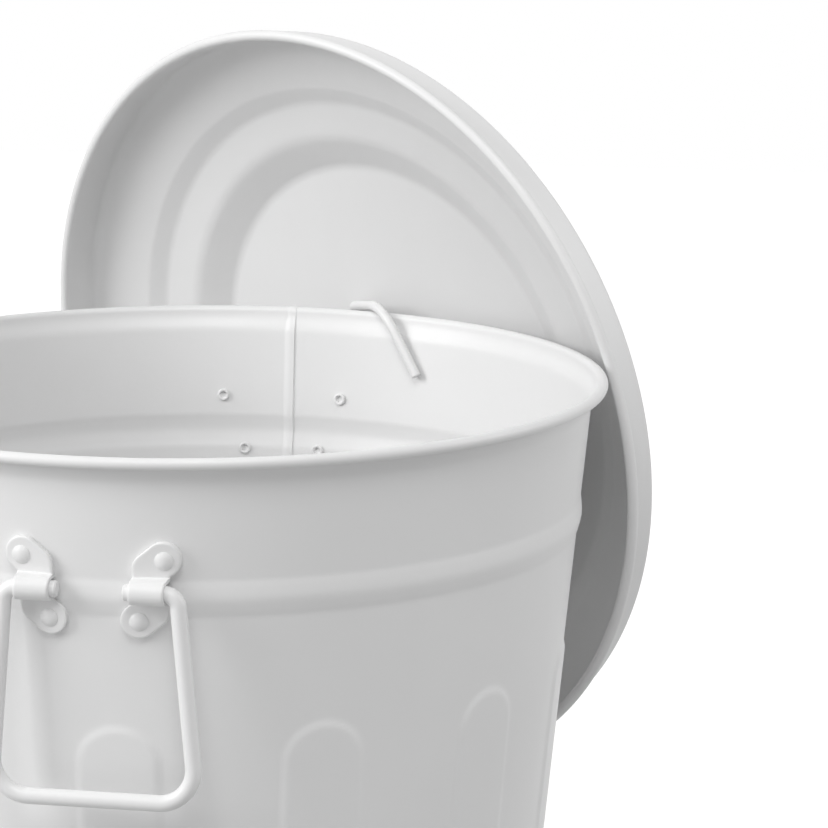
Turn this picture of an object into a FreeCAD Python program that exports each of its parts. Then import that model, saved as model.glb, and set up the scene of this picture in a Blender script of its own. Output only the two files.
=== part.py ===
"""Lidded sheet-metal trash can with drop handles; the lid hangs open on the rim by its hook.

Frame: millimetres, +Z up, origin at the centre of the circle that the can's foot stands on.
The back handle points along +Y, the front handle along -Y. Angles around the can are measured
at +Y and grow towards +X. The lid's own frame has its origin at the centre of its curled edge,
Z towards the dome, Y along the hook's leg and X along the axis of its handle.
"""
import FreeCAD, Part
import math
import os
import Sketcher
from FreeCAD import Placement, Rotation, Vector

doc = FreeCAD.newDocument("TrashCan")
sheet = doc.addObject("Spreadsheet::Sheet", "Sizes")

# name, value in mm or degrees or a formula, meaning
SIZES = [
    ("can_height", 250.0, "floor to the top of the rim"),
    ("rim_radius", 160.0, "outside of the curled rim"),
    ("base_radius", 129.0, "outside of the wall at the floor"),
    ("gauge", 0.6, "sheet thickness"),
    ("curl_radius", 2.2, "outside radius of the curl tube, can and lid"),
    ("curl_wire", 2.6, "diameter of the wire in the curls"),
    ("curl_open", 55.0, "part of the curl's turn left open, degrees short of a full wrap"),
    ("rim_flare", 1.3, "how far the wall flares out under the curl"),
    ("flare_depth", 9.0, "height of the flare"),
    ("bead_drop", 50.6, "centre of the bead ring below the centre of the rim curl"),
    ("bead_height", "=can_height - curl_radius - bead_drop", "centre of the bead ring above the floor"),
    ("bead_width", 11.5, "height of the bead ring"),
    ("bead_rise", 1.2, "how far the bead stands out"),
    ("flute_count", 12, "raised flutes around the wall"),
    ("flute_turn", 2.4, "angle of the first flute from the front handle"),
    ("flute_drop", 47.7, "crown of the flute's upper arch below the bead's centre"),
    ("flute_top", "=bead_height - flute_drop", "crown of the flute's upper arch"),
    ("flute_low", 24.0, "crown of the flute's lower arch"),
    ("flute_half", 16.1, "half width of the flute at the wall's tangent plane"),
    ("flute_arch", 13.5, "height of each arch"),
    ("flute_rise", 0.8, "how far the flute stands out"),
    ("flute_draft", 3.2, "run of the flute's edge per unit of rise"),
    ("seam_turn", 1.3, "angle of the lap seam from the back handle"),
    ("seam_width", 5.0, "width of the lap seam"),
    ("seam_rise", 0.9, "how far the lap seam stands in"),
    ("pan_rise", 9.0, "underside of the floor pan above the ground"),
    ("pan_gap", 0.12, "clearance of the pan's flange in the hem"),
    ("pan_ring", 92.0, "radius of the pan's stiffening ring"),
    ("pan_ring_width", 8.0, "width of the stiffening ring"),
    ("pan_ring_rise", 1.6, "height of the stiffening ring"),
    ("bail_drop", 46.8, "handle axis below the centre of the rim curl"),
    ("bail_wire", 6.0, "diameter of the handle wire"),
    ("bail_gap", 0.4, "clearance of the handle wire from the bead"),
    ("bail_end", 12.0, "half distance between the two wire ends"),
    ("bail_neck", 31.5, "half width of the handle at its axis"),
    ("bail_half", 38.0, "half width of the handle at its lower corners"),
    ("bail_length", 76.5, "axis to the centre of the grip"),
    ("bail_corner", 13.0, "bend radius of the lower corners"),
    ("bail_elbow", 5.0, "bend radius beside the ears"),
    ("ear_gauge", 1.2, "strap thickness of the ears over the bead and the wire"),
    ("ear_width", 13.0, "strap width"),
    ("ear_place", 20.9, "half distance between a handle's ears"),
    ("ear_lean", 4.65, "sideways offset of a rivet from the ear's middle"),
    ("ear_pitch", 11.4, "height offset of a rivet from the ear's middle"),
    ("ear_clear", 0.15, "clearance of the wire in the ear"),
    ("seat_gap", 0.05, "clearance between a strap and the sheet"),
    ("rivet_shank", 1.6, "shank radius of the rivets"),
    ("rivet_head", 3.4, "head radius"),
    ("rivet_dome", 1.4, "head height"),
    ("rivet_ring", 2.7, "radius of the clinched end"),
    ("rivet_end", 1.1, "height of the clinched end"),
    ("rivet_clear", 0.05, "clearance of the shank in its hole"),
    ("lid_clear", 0.6, "clearance of the lid's skirt over the rim"),
    ("skirt_depth", 14.0, "curl centre to the start of the shoulder"),
    ("skirt_draft", 0.4, "inward lean of the skirt over its height"),
    ("shoulder", 4.0, "outside radius of the lid's shoulder"),
    ("slope_width", 23.0, "width of the lid's outer slope"),
    ("slope_rise", 6.7, "rise of the outer slope"),
    ("step_width", 7.6, "width of the lower step"),
    ("step_rise", 4.6, "rise of the lower step"),
    ("ledge_width", 16.0, "width of the ledge above the lower step"),
    ("ledge_rise", 1.8, "rise of the ledge"),
    ("panel_slope", 15.0, "width of the upper step"),
    ("panel_rise", 9.1, "rise of the upper step"),
    ("hang_place", 16.0, "angle of the rim point that carries the hook"),
    ("hang_turn", 31.1, "direction the open lid's dome faces"),
    ("hang_lean", 10.7, "how far the dome looks up"),
    ("hang_roll", 30.0, "turn of the hook's leg from upright"),
    ("hook_wire", 4.0, "diameter of the hook wire"),
    ("hang_gap", "=hook_wire / 2 - 1.5", "rise of the hook over the rim, which grows with its wire"),
    ("hook_tail", 16.0, "leg length below the lid's centre"),
    ("hook_top", 35.9, "height of the hook's first bend"),
    ("hook_span", 35.6, "distance between the two legs"),
    ("hook_fall", 8.9, "drop of the arm from first to second bend"),
    ("hook_reach", 17.4, "distance of the second bend from the leg towards the mouth"),
    ("hook_leg", 34.0, "length of the free leg"),
    ("hook_splay", 2.4, "sideways spread of the free leg at its tip"),
    ("hook_stand", 0.66, "how far the free leg's tip stands off beyond the wall's taper"),
    ("hook_out", "=hook_stand + hook_leg * (rim_radius - 2 * curl_radius - rim_flare - base_radius)"
                 " / (can_height - curl_radius)", "spread of the free leg's tip towards the mouth"),
    ("hook_bend", 5.0, "radius of the first bend"),
    ("hook_bend_two", 18.0, "radius of the second bend"),
    ("hook_seat_x", 28.4, "rim point that carries the hook, sideways from the leg"),
    ("hook_seat_y", 23.1, "the same point, up along the leg"),
    ("hook_seat_z", 15.0, "the same point, below the panel"),
    ("clip_place", 12.0, "centre of the hook clip along the leg"),
    ("clip_width", 11.0, "strap width of the hook clip"),
    ("clip_pitch", 9.0, "clip rivet from the leg"),
    ("clip_gauge", 1.0, "strap thickness of the hook clip"),
    ("grip_wire", 5.0, "diameter of the lid handle's wire"),
    ("grip_gap", 0.4, "clearance of the lid handle over the panel"),
    ("grip_end", 26.0, "half distance between the lid handle's wire ends"),
    ("grip_half", 43.0, "half width of the lid handle"),
    ("grip_length", 45.0, "axis to the centre of the lid handle's grip"),
    ("grip_corner", 12.0, "bend radius of the lid handle's corners"),
    ("grip_elbow", 5.0, "bend radius beside the lid ears"),
    ("grip_ear", 33.0, "half distance between the lid ears"),
    ("grip_ear_width", 11.0, "strap width of the lid ears"),
    ("grip_ear_pitch", 10.0, "lid ear rivet from the handle axis"),
]
for row, (alias, number, meaning) in enumerate(SIZES, 1):
    sheet.set("A%d" % row, meaning)
    sheet.set("B%d" % row, str(number))
    sheet.setAlias("B%d" % row, alias)
doc.recompute()
S = {alias: float(sheet.get(alias)) for alias, number, meaning in SIZES}


# ---------------------------------------------------------------- places shared by the pieces
curl_height = S["can_height"] - S["curl_radius"]
curl_place = S["rim_radius"] - S["curl_radius"]
top_radius = S["rim_radius"] - 2 * S["curl_radius"] - S["rim_flare"]
taper = (top_radius - S["base_radius"]) / curl_height
lean = math.atan(taper)


def wall_radius(z):
    """Outside radius of the plain tapered wall at height z."""
    return S["base_radius"] + taper * z


bail_height = curl_height - S["bail_drop"]
bail_place = wall_radius(bail_height) + S["bead_rise"] + S["bail_wire"] / 2 + S["bail_gap"]
ear_turn = math.asin(S["ear_place"] / wall_radius(bail_height))

lid_place = S["rim_radius"] + S["lid_clear"] + S["curl_radius"]
skirt_inner = S["rim_radius"] + S["lid_clear"]
shoulder_place = skirt_inner + S["gauge"] - S["skirt_draft"] - S["shoulder"]
slope_end = shoulder_place - S["slope_width"]
step_end = slope_end - S["step_width"]
ledge_end = step_end - S["ledge_width"]
panel_radius = ledge_end - S["panel_slope"]
crown = S["skirt_depth"] + S["shoulder"]
panel_out = crown + S["slope_rise"] + S["step_rise"] + S["ledge_rise"] + S["panel_rise"]
panel_in = panel_out - S["gauge"]
leg_height = panel_in - S["hook_wire"] / 2 - S["seat_gap"]
grip_height = panel_out + S["grip_wire"] / 2 + S["grip_gap"]


def lid_frame():
    """Placement of the lid's own frame while its hook rests on the rim."""
    turn = math.radians(S["hang_turn"])
    tilt = math.radians(S["hang_lean"])
    roll = math.radians(S["hang_roll"])
    across = Vector(math.cos(turn), -math.sin(turn), 0)
    dome = Vector(math.sin(turn) * math.cos(tilt), math.cos(turn) * math.cos(tilt), math.sin(tilt))
    upward = Vector(-math.sin(turn) * math.sin(tilt), -math.cos(turn) * math.sin(tilt), math.cos(tilt))
    leg = upward * math.cos(roll) - across * math.sin(roll)
    side = leg.cross(dome)
    turned = Rotation(side, leg, dome, "ZXY")
    place = math.radians(S["hang_place"])
    carried = Vector(curl_place * math.sin(place), curl_place * math.cos(place), curl_height)
    carried = carried + Vector(0, 0, S["hang_gap"])
    seat = Vector(-S["hook_seat_x"], S["hook_seat_y"], panel_in - S["hook_seat_z"])
    return Placement(carried - turned.multVec(seat), turned)


LID = lid_frame()


# ---------------------------------------------------------------- helpers
def ring(points):
    """Solid swept by a closed outline in the XZ half plane. An outline item is a point, or a
    pair (middle, end) for an arc."""
    edges = []
    here = Vector(points[0][0], 0, points[0][1])
    start = here
    for item in points[1:]:
        if isinstance(item[0], tuple):
            middle = Vector(item[0][0], 0, item[0][1])
            end = Vector(item[1][0], 0, item[1][1])
            edges.append(Part.Arc(here, middle, end).toShape())
        else:
            end = Vector(item[0], 0, item[1])
            edges.append(Part.LineSegment(here, end).toShape())
        here = end
    edges.append(Part.LineSegment(here, start).toShape())
    face = Part.Face(Part.Wire(edges))
    return face.revolve(Vector(0, 0, 0), Vector(0, 0, 1), 360)


def polar(centre, radius, angle):
    """Point on a circle in the XZ half plane, angle in degrees."""
    turn = math.radians(angle)
    return (centre[0] + radius * math.cos(turn), centre[1] + radius * math.sin(turn))


def curl_outline(centre):
    """Arcs of a curled edge that starts on its inner side and rolls over the top."""
    outside = S["curl_radius"]
    inside = outside - S["gauge"]
    last = -180 + S["curl_open"]
    return [
        (polar(centre, outside, 90), polar(centre, outside, 0)),
        (polar(centre, outside, last / 2), polar(centre, outside, last)),
        polar(centre, inside, last),
        (polar(centre, inside, last / 2), polar(centre, inside, 0)),
        (polar(centre, inside, 90), polar(centre, inside, 180)),
    ]


def bent_wire(points, bends, radius):
    """Round wire along straight runs joined by tangent arcs. bends holds one radius per inner
    point."""
    edges = []
    here = points[0]
    for i, bend in enumerate(bends, 1):
        back = (points[i - 1] - points[i]).normalize()
        ahead = (points[i + 1] - points[i]).normalize()
        half = back.getAngle(ahead) / 2
        run = bend / math.tan(half)
        first = points[i] + back * run
        last = points[i] + ahead * run
        bisector = (back + ahead).normalize()
        middle = points[i] + bisector * (bend / math.sin(half) - bend)
        edges.append(Part.LineSegment(here, first).toShape())
        edges.append(Part.Arc(first, middle, last).toShape())
        here = last
    edges.append(Part.LineSegment(here, points[-1]).toShape())
    path = Part.Wire(edges)
    section = Part.Wire(Part.makeCircle(radius, points[0], (points[1] - points[0]).normalize()))
    return path.makePipeShell([section], True, False)


def rivet(grip):
    """Tubular rivet with its head's seat at z = 0. grip is the thickness that it holds."""
    shank = S["rivet_shank"]
    head = S["rivet_head"]
    end = S["rivet_ring"]
    low = -grip - S["seat_gap"]
    tip = low - S["rivet_end"]
    bore = shank * 0.62
    rise = S["rivet_dome"]
    return ring([
        (0, rise),
        ((head * 0.62, rise * 0.78), (head, 0)),
        (shank, 0),
        (shank, low),
        (end, low),
        (end, low - S["rivet_end"] * 0.4),
        ((end * 0.86, tip + 0.15), (end * 0.68, tip)),
        (bore, tip + 0.5),
        (bore, low + 0.2),
        (0, low + 0.2),
    ])


def ear_point(side, level):
    """Rivet seat of a can ear: point on the wall and outward normal in the handle's frame. side
    is -1 or 1, level is -1 for the lower and 1 for the upper rivet."""
    centre, across, up, normal = ear_frame(side)
    return centre + across * (-side * level * S["ear_lean"]) + up * (level * S["ear_pitch"]), normal


def ear_frame(side):
    """Tangent plane of the wall behind an ear, in the handle's frame: centre, x, y, normal."""
    turn = side * ear_turn
    outward = Vector(math.sin(turn), math.cos(turn), 0)
    normal = Vector(outward.x * math.cos(lean), outward.y * math.cos(lean), -math.sin(lean))
    across = Vector(-math.cos(turn), math.sin(turn), 0)
    up = normal.cross(across)
    centre = outward * wall_radius(bail_height) - Vector(0, bail_place, 0)
    return centre + normal * S["seat_gap"], across, up, normal


def along(start, direction):
    """Placement that carries z onto a direction at a point."""
    return Placement(start, Rotation(Vector(0, 0, 1), direction))


BACK = Placement(Vector(0, bail_place, bail_height), Rotation())
FRONT = Placement(Vector(0, -bail_place, bail_height), Rotation(Vector(0, 0, 1), 180))
SIDES = (("left", -1), ("right", 1))


# ---------------------------------------------------------------- sketches and solids
def feature(name, shape, place=None):
    """A piece whose shape comes from surface and boolean geometry."""
    piece = doc.addObject("Part::Feature", name)
    piece.Label = name
    piece.Shape = shape
    if place is not None:
        piece.Placement = place
    return piece


def new_body(name):
    """Empty body."""
    body = doc.addObject("PartDesign::Body", name)
    body.Label = name
    return body


def new_sketch(body, name, place):
    """Sketch in a body, set at a placement from the body's XY plane."""
    sketch = body.newObject("Sketcher::SketchObject", name)
    plane = [p for p in body.Origin.OriginFeatures if p.Role == "XY_Plane"][0]
    sketch.AttachmentSupport = [(plane, "")]
    sketch.MapMode = "FlatFace"
    sketch.AttachmentOffset = place
    return sketch


def bind(sketch, constraint, formula):
    """Adds a dimension and ties it to the sheet."""
    index = sketch.addConstraint(constraint)
    sketch.setExpression("Constraints[%d]" % index, formula)
    return index


def pin_point(sketch, item, end, x, y, x_formula, y_formula):
    """Places a sketch point by its two distances from the sketch's origin."""
    for kind, value, formula in (("DistanceX", x, x_formula), ("DistanceY", y, y_formula)):
        if formula == "0":
            line = -2 if kind == "DistanceX" else -1
            sketch.addConstraint(Sketcher.Constraint("PointOnObject", item, end, line))
        elif value < 0:
            bind(sketch, Sketcher.Constraint(kind, item, end, -1, 1, -value), "-(" + formula + ")")
        else:
            bind(sketch, Sketcher.Constraint(kind, -1, 1, item, end, value), formula)


def outline(sketch, corners):
    """Closed polygon whose corners are (x, y, x formula, y formula)."""
    count = len(corners)
    for i in range(count):
        here = Vector(corners[i][0], corners[i][1], 0)
        there = Vector(corners[(i + 1) % count][0], corners[(i + 1) % count][1], 0)
        sketch.addGeometry(Part.LineSegment(here, there), False)
    for i in range(count):
        sketch.addConstraint(Sketcher.Constraint("Coincident", i, 2, (i + 1) % count, 1))
    for i, corner in enumerate(corners):
        pin_point(sketch, i, 1, *corner)


def slot(sketch, first, last, radius, radius_formula):
    """Round-ended slot between two centres (x, y, x formula, y formula)."""
    start = Vector(first[0], first[1], 0)
    end = Vector(last[0], last[1], 0)
    way = (end - start).normalize()
    angle = math.atan2(way.y, way.x)
    side = Vector(-way.y, way.x, 0) * radius
    half = math.pi / 2
    normal = Vector(0, 0, 1)
    one = Part.ArcOfCircle(Part.Circle(start, normal, radius), angle + half, angle + 3 * half)
    two = Part.ArcOfCircle(Part.Circle(end, normal, radius), angle - half, angle + half)
    sketch.addGeometry(one, False)
    sketch.addGeometry(Part.LineSegment(start - side, end - side), False)
    sketch.addGeometry(two, False)
    sketch.addGeometry(Part.LineSegment(end + side, start + side), False)
    for a, b in ((0, 1), (1, 2), (2, 3), (3, 0)):
        sketch.addConstraint(Sketcher.Constraint("Tangent", a, 2, b, 1))
    sketch.addConstraint(Sketcher.Constraint("Equal", 0, 2))
    bind(sketch, Sketcher.Constraint("Radius", 0, radius), radius_formula)
    pin_point(sketch, 0, 3, *first)
    pin_point(sketch, 2, 3, *last)


def saddle(sketch, radius, formula, depth):
    """Upright D: a half circle about the origin on straight sides that run back by depth."""
    sketch.addGeometry(Part.ArcOfCircle(Part.Circle(Vector(), Vector(0, 0, 1), radius),
                                        -math.pi / 2, math.pi / 2), False)
    sketch.addGeometry(Part.LineSegment(Vector(0, radius, 0), Vector(-depth, radius, 0)), False)
    sketch.addGeometry(Part.LineSegment(Vector(-depth, radius, 0), Vector(-depth, -radius, 0)), False)
    sketch.addGeometry(Part.LineSegment(Vector(-depth, -radius, 0), Vector(0, -radius, 0)), False)
    sketch.addConstraint(Sketcher.Constraint("Coincident", 0, 3, -1, 1))
    sketch.addConstraint(Sketcher.Constraint("Tangent", 0, 2, 1, 1))
    sketch.addConstraint(Sketcher.Constraint("Coincident", 1, 2, 2, 1))
    sketch.addConstraint(Sketcher.Constraint("Coincident", 2, 2, 3, 1))
    sketch.addConstraint(Sketcher.Constraint("Tangent", 3, 2, 0, 1))
    sketch.addConstraint(Sketcher.Constraint("Vertical", 2))
    sketch.addConstraint(Sketcher.Constraint("Horizontal", 1))
    bind(sketch, Sketcher.Constraint("Radius", 0, radius), formula)
    sketch.addConstraint(Sketcher.Constraint("DistanceX", 2, 1, 0, 3, depth))


def symmetric(item):
    """Lets a pad or pocket run the same way to both sides of its sketch."""
    if hasattr(item, "SideType"):
        item.SideType = "Symmetric"
    else:
        item.Midplane = True


def pad(body, name, sketch, length, formula, both=False, back=False):
    """Pad tied to the sheet."""
    item = body.newObject("PartDesign::Pad", name)
    item.Profile = sketch
    item.Length = length
    item.setExpression("Length", formula)
    item.Reversed = back
    if both:
        symmetric(item)
    doc.recompute()
    return item


def pocket(body, name, sketch, length, both=False, back=False):
    """Pocket that has to remove something."""
    before = body.Shape.Volume
    item = body.newObject("PartDesign::Pocket", name)
    item.Profile = sketch
    item.Length = length
    item.Reversed = back
    if both:
        symmetric(item)
    doc.recompute()
    if not body.Shape.Volume < before - 1e-3:
        raise RuntimeError(name + " removes nothing")
    return item


def circles(sketch, places, radius, formula):
    """Circles of one radius at (x, y, x formula, y formula)."""
    for i, place in enumerate(places):
        sketch.addGeometry(Part.Circle(Vector(place[0], place[1], 0), Vector(0, 0, 1), radius), False)
        bind(sketch, Sketcher.Constraint("Radius", i, radius), formula)
        pin_point(sketch, i, 3, *place)


def box_outline(sketch, half):
    """Square of a half side about the sketch's origin."""
    corners = [(-half, -half), (half, -half), (half, half), (-half, half)]
    for i in range(4):
        sketch.addGeometry(Part.LineSegment(Vector(*corners[i], 0), Vector(*corners[(i + 1) % 4], 0)), False)
    for i in range(4):
        sketch.addConstraint(Sketcher.Constraint("Coincident", i, 2, (i + 1) % 4, 1))
        sketch.addConstraint(Sketcher.Constraint("Horizontal" if i % 2 == 0 else "Vertical", i))
    sketch.addConstraint(Sketcher.Constraint("Symmetric", 0, 1, 1, 2, -1, 1))
    sketch.addConstraint(Sketcher.Constraint("DistanceX", 0, 1, 0, 2, 2 * half))
    sketch.addConstraint(Sketcher.Constraint("DistanceY", 1, 1, 1, 2, 2 * half))


# ---------------------------------------------------------------- can wall
def wall_profile():
    """Section of the wall from its hem up to its curl."""
    g = S["gauge"]
    hem = 3 * g + 2 * S["pan_gap"]
    hem_top = S["pan_rise"] - 2.0
    low = S["bead_height"] - S["bead_width"] / 2
    high = S["bead_height"] + S["bead_width"] / 2
    flare = curl_height - S["flare_depth"]
    peak = wall_radius(S["bead_height"]) + S["bead_rise"]
    centre = (curl_place, curl_height)
    inner = [
        (wall_radius(g) - hem + g, g),
        (wall_radius(g) - g, g),
        (wall_radius(low) - g, low),
        ((peak - g, S["bead_height"]), (wall_radius(high) - g, high)),
        (wall_radius(flare) - g, flare),
        (curl_place - S["curl_radius"], curl_height),
    ]
    outer = [
        (wall_radius(flare), flare),
        (wall_radius(high), high),
        ((peak, S["bead_height"]), (wall_radius(low), low)),
        (wall_radius(0.45), 0.45),
        (S["base_radius"] - 0.45, 0),
        (S["base_radius"] - hem + 0.4, 0),
        (wall_radius(0.4) - hem, 0.4),
        (wall_radius(hem_top) - hem, hem_top),
        (wall_radius(hem_top) - hem + g, hem_top),
    ]
    return inner + curl_outline(centre) + outer


def flute_tool(shift):
    """Drafted block whose sides cut one flute out of a raised skin, set at +X. shift moves it
    outwards along the wall's normal."""
    out = Vector(math.cos(lean), 0, -math.sin(lean))
    up = Vector(math.sin(lean), 0, math.cos(lean))
    side = Vector(0, 1, 0)
    base = Vector(wall_radius(S["flute_low"]), 0, S["flute_low"])
    length = (S["flute_top"] - S["flute_low"]) / math.cos(lean)
    wires = []
    for level in (-2.4, 2.4):
        half = S["flute_half"] - S["flute_draft"] * level
        crest = S["flute_arch"] - S["flute_draft"] * level
        centre = base + out * (level + shift)
        low = centre + up * S["flute_arch"]
        high = centre + up * (length - S["flute_arch"])
        corners = [low - side * half, low + side * half, high + side * half, high - side * half]
        wires.append(Part.Wire([
            Part.LineSegment(corners[1], corners[2]).toShape(),
            Part.Arc(corners[2], high + up * crest, corners[3]).toShape(),
            Part.LineSegment(corners[3], corners[0]).toShape(),
            Part.Arc(corners[0], low - up * crest, corners[1]).toShape(),
        ]))
    return Part.makeLoft(wires, True, True)


def skin(inner, outer, low, high):
    """Tapered sleeve between two offsets from the wall's outside."""
    return ring([
        (wall_radius(low) + inner, low),
        (wall_radius(low) + outer, low),
        (wall_radius(high) + outer, high),
        (wall_radius(high) + inner, high),
    ])


def around(tool, count, first):
    """Copies of a tool around the can. The tool points along +X; first is the angle of the
    first copy, measured at -Y towards +X."""
    copies = []
    for i in range(count):
        copy = tool.copy()
        copy.rotate(Vector(), Vector(0, 0, 1), first + i * 360.0 / count - 90)
        copies.append(copy)
    return copies


def build_wall():
    """Wall with flutes, lap seam and rivet holes."""
    g = S["gauge"]
    wall = ring(wall_profile())
    low = S["flute_low"] - 8
    high = S["flute_top"] + 8
    count = int(S["flute_count"])
    raised = skin(-g / 2, S["flute_rise"], low, high)
    sunk = skin(-1.5 * g, S["flute_rise"] - g, low, high)
    pads = [raised.common(t) for t in around(flute_tool(0), count, S["flute_turn"])]
    dents = [sunk.common(t) for t in around(flute_tool(-g), count, S["flute_turn"])]
    wall = wall.fuse(pads).cut(Part.makeCompound(dents))
    floor_top = S["pan_rise"] + g + 0.6
    seam_top = curl_height - S["flare_depth"] - 1.0
    strip = Part.makeBox(S["seam_width"], 60, seam_top - floor_top,
                         Vector(-S["seam_width"] / 2, wall_radius(floor_top) - 30, floor_top))
    strip.rotate(Vector(), Vector(0, 0, 1), -S["seam_turn"])
    seam = skin(-g - S["seam_rise"], -g / 2, floor_top - 1, seam_top + 1).common(strip)
    wall = wall.fuse(seam)
    holes = []
    for place in (BACK, FRONT):
        for name, side in SIDES:
            for level in (-1, 1):
                point, normal = ear_point(side, level)
                hole = Part.makeCylinder(S["rivet_shank"] + S["rivet_clear"], 12)
                hole.Placement = place.multiply(along(point - normal * 6, normal))
                holes.append(hole)
    wall = wall.cut(Part.makeCompound(holes))
    return wall.removeSplitter()


can_wall = feature("can_wall", build_wall())


# ---------------------------------------------------------------- curl wires
def curl_ring(name, radius_formula, height_formula):
    """Wire ring inside a curl."""
    wire = doc.addObject("Part::Torus", name)
    wire.Label = name
    wire.setExpression("Radius1", radius_formula)
    wire.setExpression("Radius2", "Sizes.curl_wire / 2")
    wire.setExpression("Placement.Base.z", height_formula)
    return wire


curl_ring("can_rim_wire", "Sizes.rim_radius - Sizes.curl_radius", "Sizes.can_height - Sizes.curl_radius")
lid_wire = doc.addObject("Part::Torus", "lid_rim_wire")
lid_wire.Label = "lid_rim_wire"
lid_wire.setExpression("Radius1", "Sizes.rim_radius + Sizes.lid_clear + Sizes.curl_radius")
lid_wire.setExpression("Radius2", "Sizes.curl_wire / 2")
lid_wire.Placement = LID


# ---------------------------------------------------------------- floor pan
def build_pan():
    """Pan with a flange that stands in the wall's hem and a stiffening ring."""
    slope = "(Sizes.rim_radius - 2 * Sizes.curl_radius - Sizes.rim_flare - Sizes.base_radius)"
    slope = slope + " / (Sizes.can_height - Sizes.curl_radius)"
    foot = "(Sizes.gauge + 0.3)"
    top = "(Sizes.pan_rise + Sizes.gauge)"
    inset = "Sizes.gauge + Sizes.pan_gap"

    def flange(height, extra):
        return "Sizes.base_radius + %s * %s - (%s) - (%s)" % (slope, height, inset, extra)

    g = S["gauge"]
    gap = g + S["pan_gap"]
    z_foot = g + 0.3
    z_under = S["pan_rise"]
    z_top = S["pan_rise"] + g
    a = S["pan_ring"]
    w = S["pan_ring_width"]
    rise = S["pan_ring_rise"]
    under = "Sizes.pan_rise"
    corners = [
        (0, z_under, "0", under),
        (a - w, z_under, "Sizes.pan_ring - Sizes.pan_ring_width", under),
        (a - w / 2, z_under + rise, "Sizes.pan_ring - Sizes.pan_ring_width / 2",
         under + " + Sizes.pan_ring_rise"),
        (a + w / 2, z_under + rise, "Sizes.pan_ring + Sizes.pan_ring_width / 2",
         under + " + Sizes.pan_ring_rise"),
        (a + w, z_under, "Sizes.pan_ring + Sizes.pan_ring_width", under),
        (wall_radius(z_under) - gap - g, z_under, flange("Sizes.pan_rise", "Sizes.gauge"), under),
        (wall_radius(z_foot) - gap - g, z_foot, flange(foot, "Sizes.gauge"), foot),
        (wall_radius(z_foot) - gap, z_foot, flange(foot, "0"), foot),
        (wall_radius(z_top) - gap, z_top, flange(top, "0"), top),
        (a + w, z_top, "Sizes.pan_ring + Sizes.pan_ring_width", top),
        (a + w / 2, z_top + rise, "Sizes.pan_ring + Sizes.pan_ring_width / 2",
         top + " + Sizes.pan_ring_rise"),
        (a - w / 2, z_top + rise, "Sizes.pan_ring - Sizes.pan_ring_width / 2",
         top + " + Sizes.pan_ring_rise"),
        (a - w, z_top, "Sizes.pan_ring - Sizes.pan_ring_width", top),
        (0, z_top, "0", top),
    ]
    body = new_body("bottom_pan")
    upright = Placement(Vector(), Rotation(Vector(1, 0, 0), Vector(0, 0, 1), Vector(0, -1, 0), "ZXY"))
    sketch = new_sketch(body, "pan_section", upright)
    outline(sketch, corners)
    turn = body.newObject("PartDesign::Revolution", "pan_turned")
    turn.Profile = sketch
    turn.ReferenceAxis = (sketch, ["V_Axis"])
    turn.Angle = 360
    doc.recompute()
    return body


build_pan()


# ---------------------------------------------------------------- ears of the can handles
def fit_to_wall(body, name):
    """Cuts the back of an ear to the wall's taper and bead, with the seat's clearance."""
    slope = "(Sizes.rim_radius - 2 * Sizes.curl_radius - Sizes.rim_flare - Sizes.base_radius)"
    slope = slope + " / (Sizes.can_height - Sizes.curl_radius)"
    axis = "(Sizes.can_height - Sizes.curl_radius - Sizes.bail_drop)"
    half = S["bead_width"] / 2
    gap = S["seat_gap"]
    reach = 26.0
    spots = [
        (-reach, 0.0, "-%g" % reach, "0"),
        (S["bead_height"] - bail_height - half - gap, 0.0,
         "Sizes.bead_height - %s - Sizes.bead_width / 2 - Sizes.seat_gap" % axis, "0"),
        (S["bead_height"] - bail_height - half / 2, S["bead_rise"],
         "Sizes.bead_height - %s - Sizes.bead_width / 4" % axis, "Sizes.bead_rise"),
        (S["bead_height"] - bail_height + half / 2, S["bead_rise"],
         "Sizes.bead_height - %s + Sizes.bead_width / 4" % axis, "Sizes.bead_rise"),
        (S["bead_height"] - bail_height + half + gap, 0.0,
         "Sizes.bead_height - %s + Sizes.bead_width / 2 + Sizes.seat_gap" % axis, "0"),
        (reach, 0.0, "%g" % reach, "0"),
    ]
    corners = []
    for level, extra, level_formula, extra_formula in spots:
        radius = wall_radius(bail_height + level) + extra + gap
        formula = "Sizes.base_radius + %s * (%s + %s) + %s + Sizes.seat_gap" % (
            slope, axis, level_formula, extra_formula)
        corners.append((radius, level, formula, level_formula))
    inside = wall_radius(bail_height) - 20
    inside_formula = "Sizes.base_radius + %s * %s - 20" % (slope, axis)
    corners.append((inside, reach, inside_formula, "%g" % reach))
    corners.append((inside, -reach, inside_formula, "-%g" % reach))
    upright = Placement(Vector(0, -bail_place, 0),
                        Rotation(Vector(0, 1, 0), Vector(0, 0, 1), Vector(1, 0, 0), "ZXY"))
    sketch = new_sketch(body, name + "_wall", upright)
    outline(sketch, corners)
    before = body.Shape.Volume
    turn = body.newObject("PartDesign::Groove", name + "_fit")
    turn.Profile = sketch
    turn.ReferenceAxis = (sketch, ["V_Axis"])
    turn.Angle = 360
    doc.recompute()
    if not body.Shape.Volume < before - 1e-3:
        raise RuntimeError(name + "_fit removes nothing")


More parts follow.
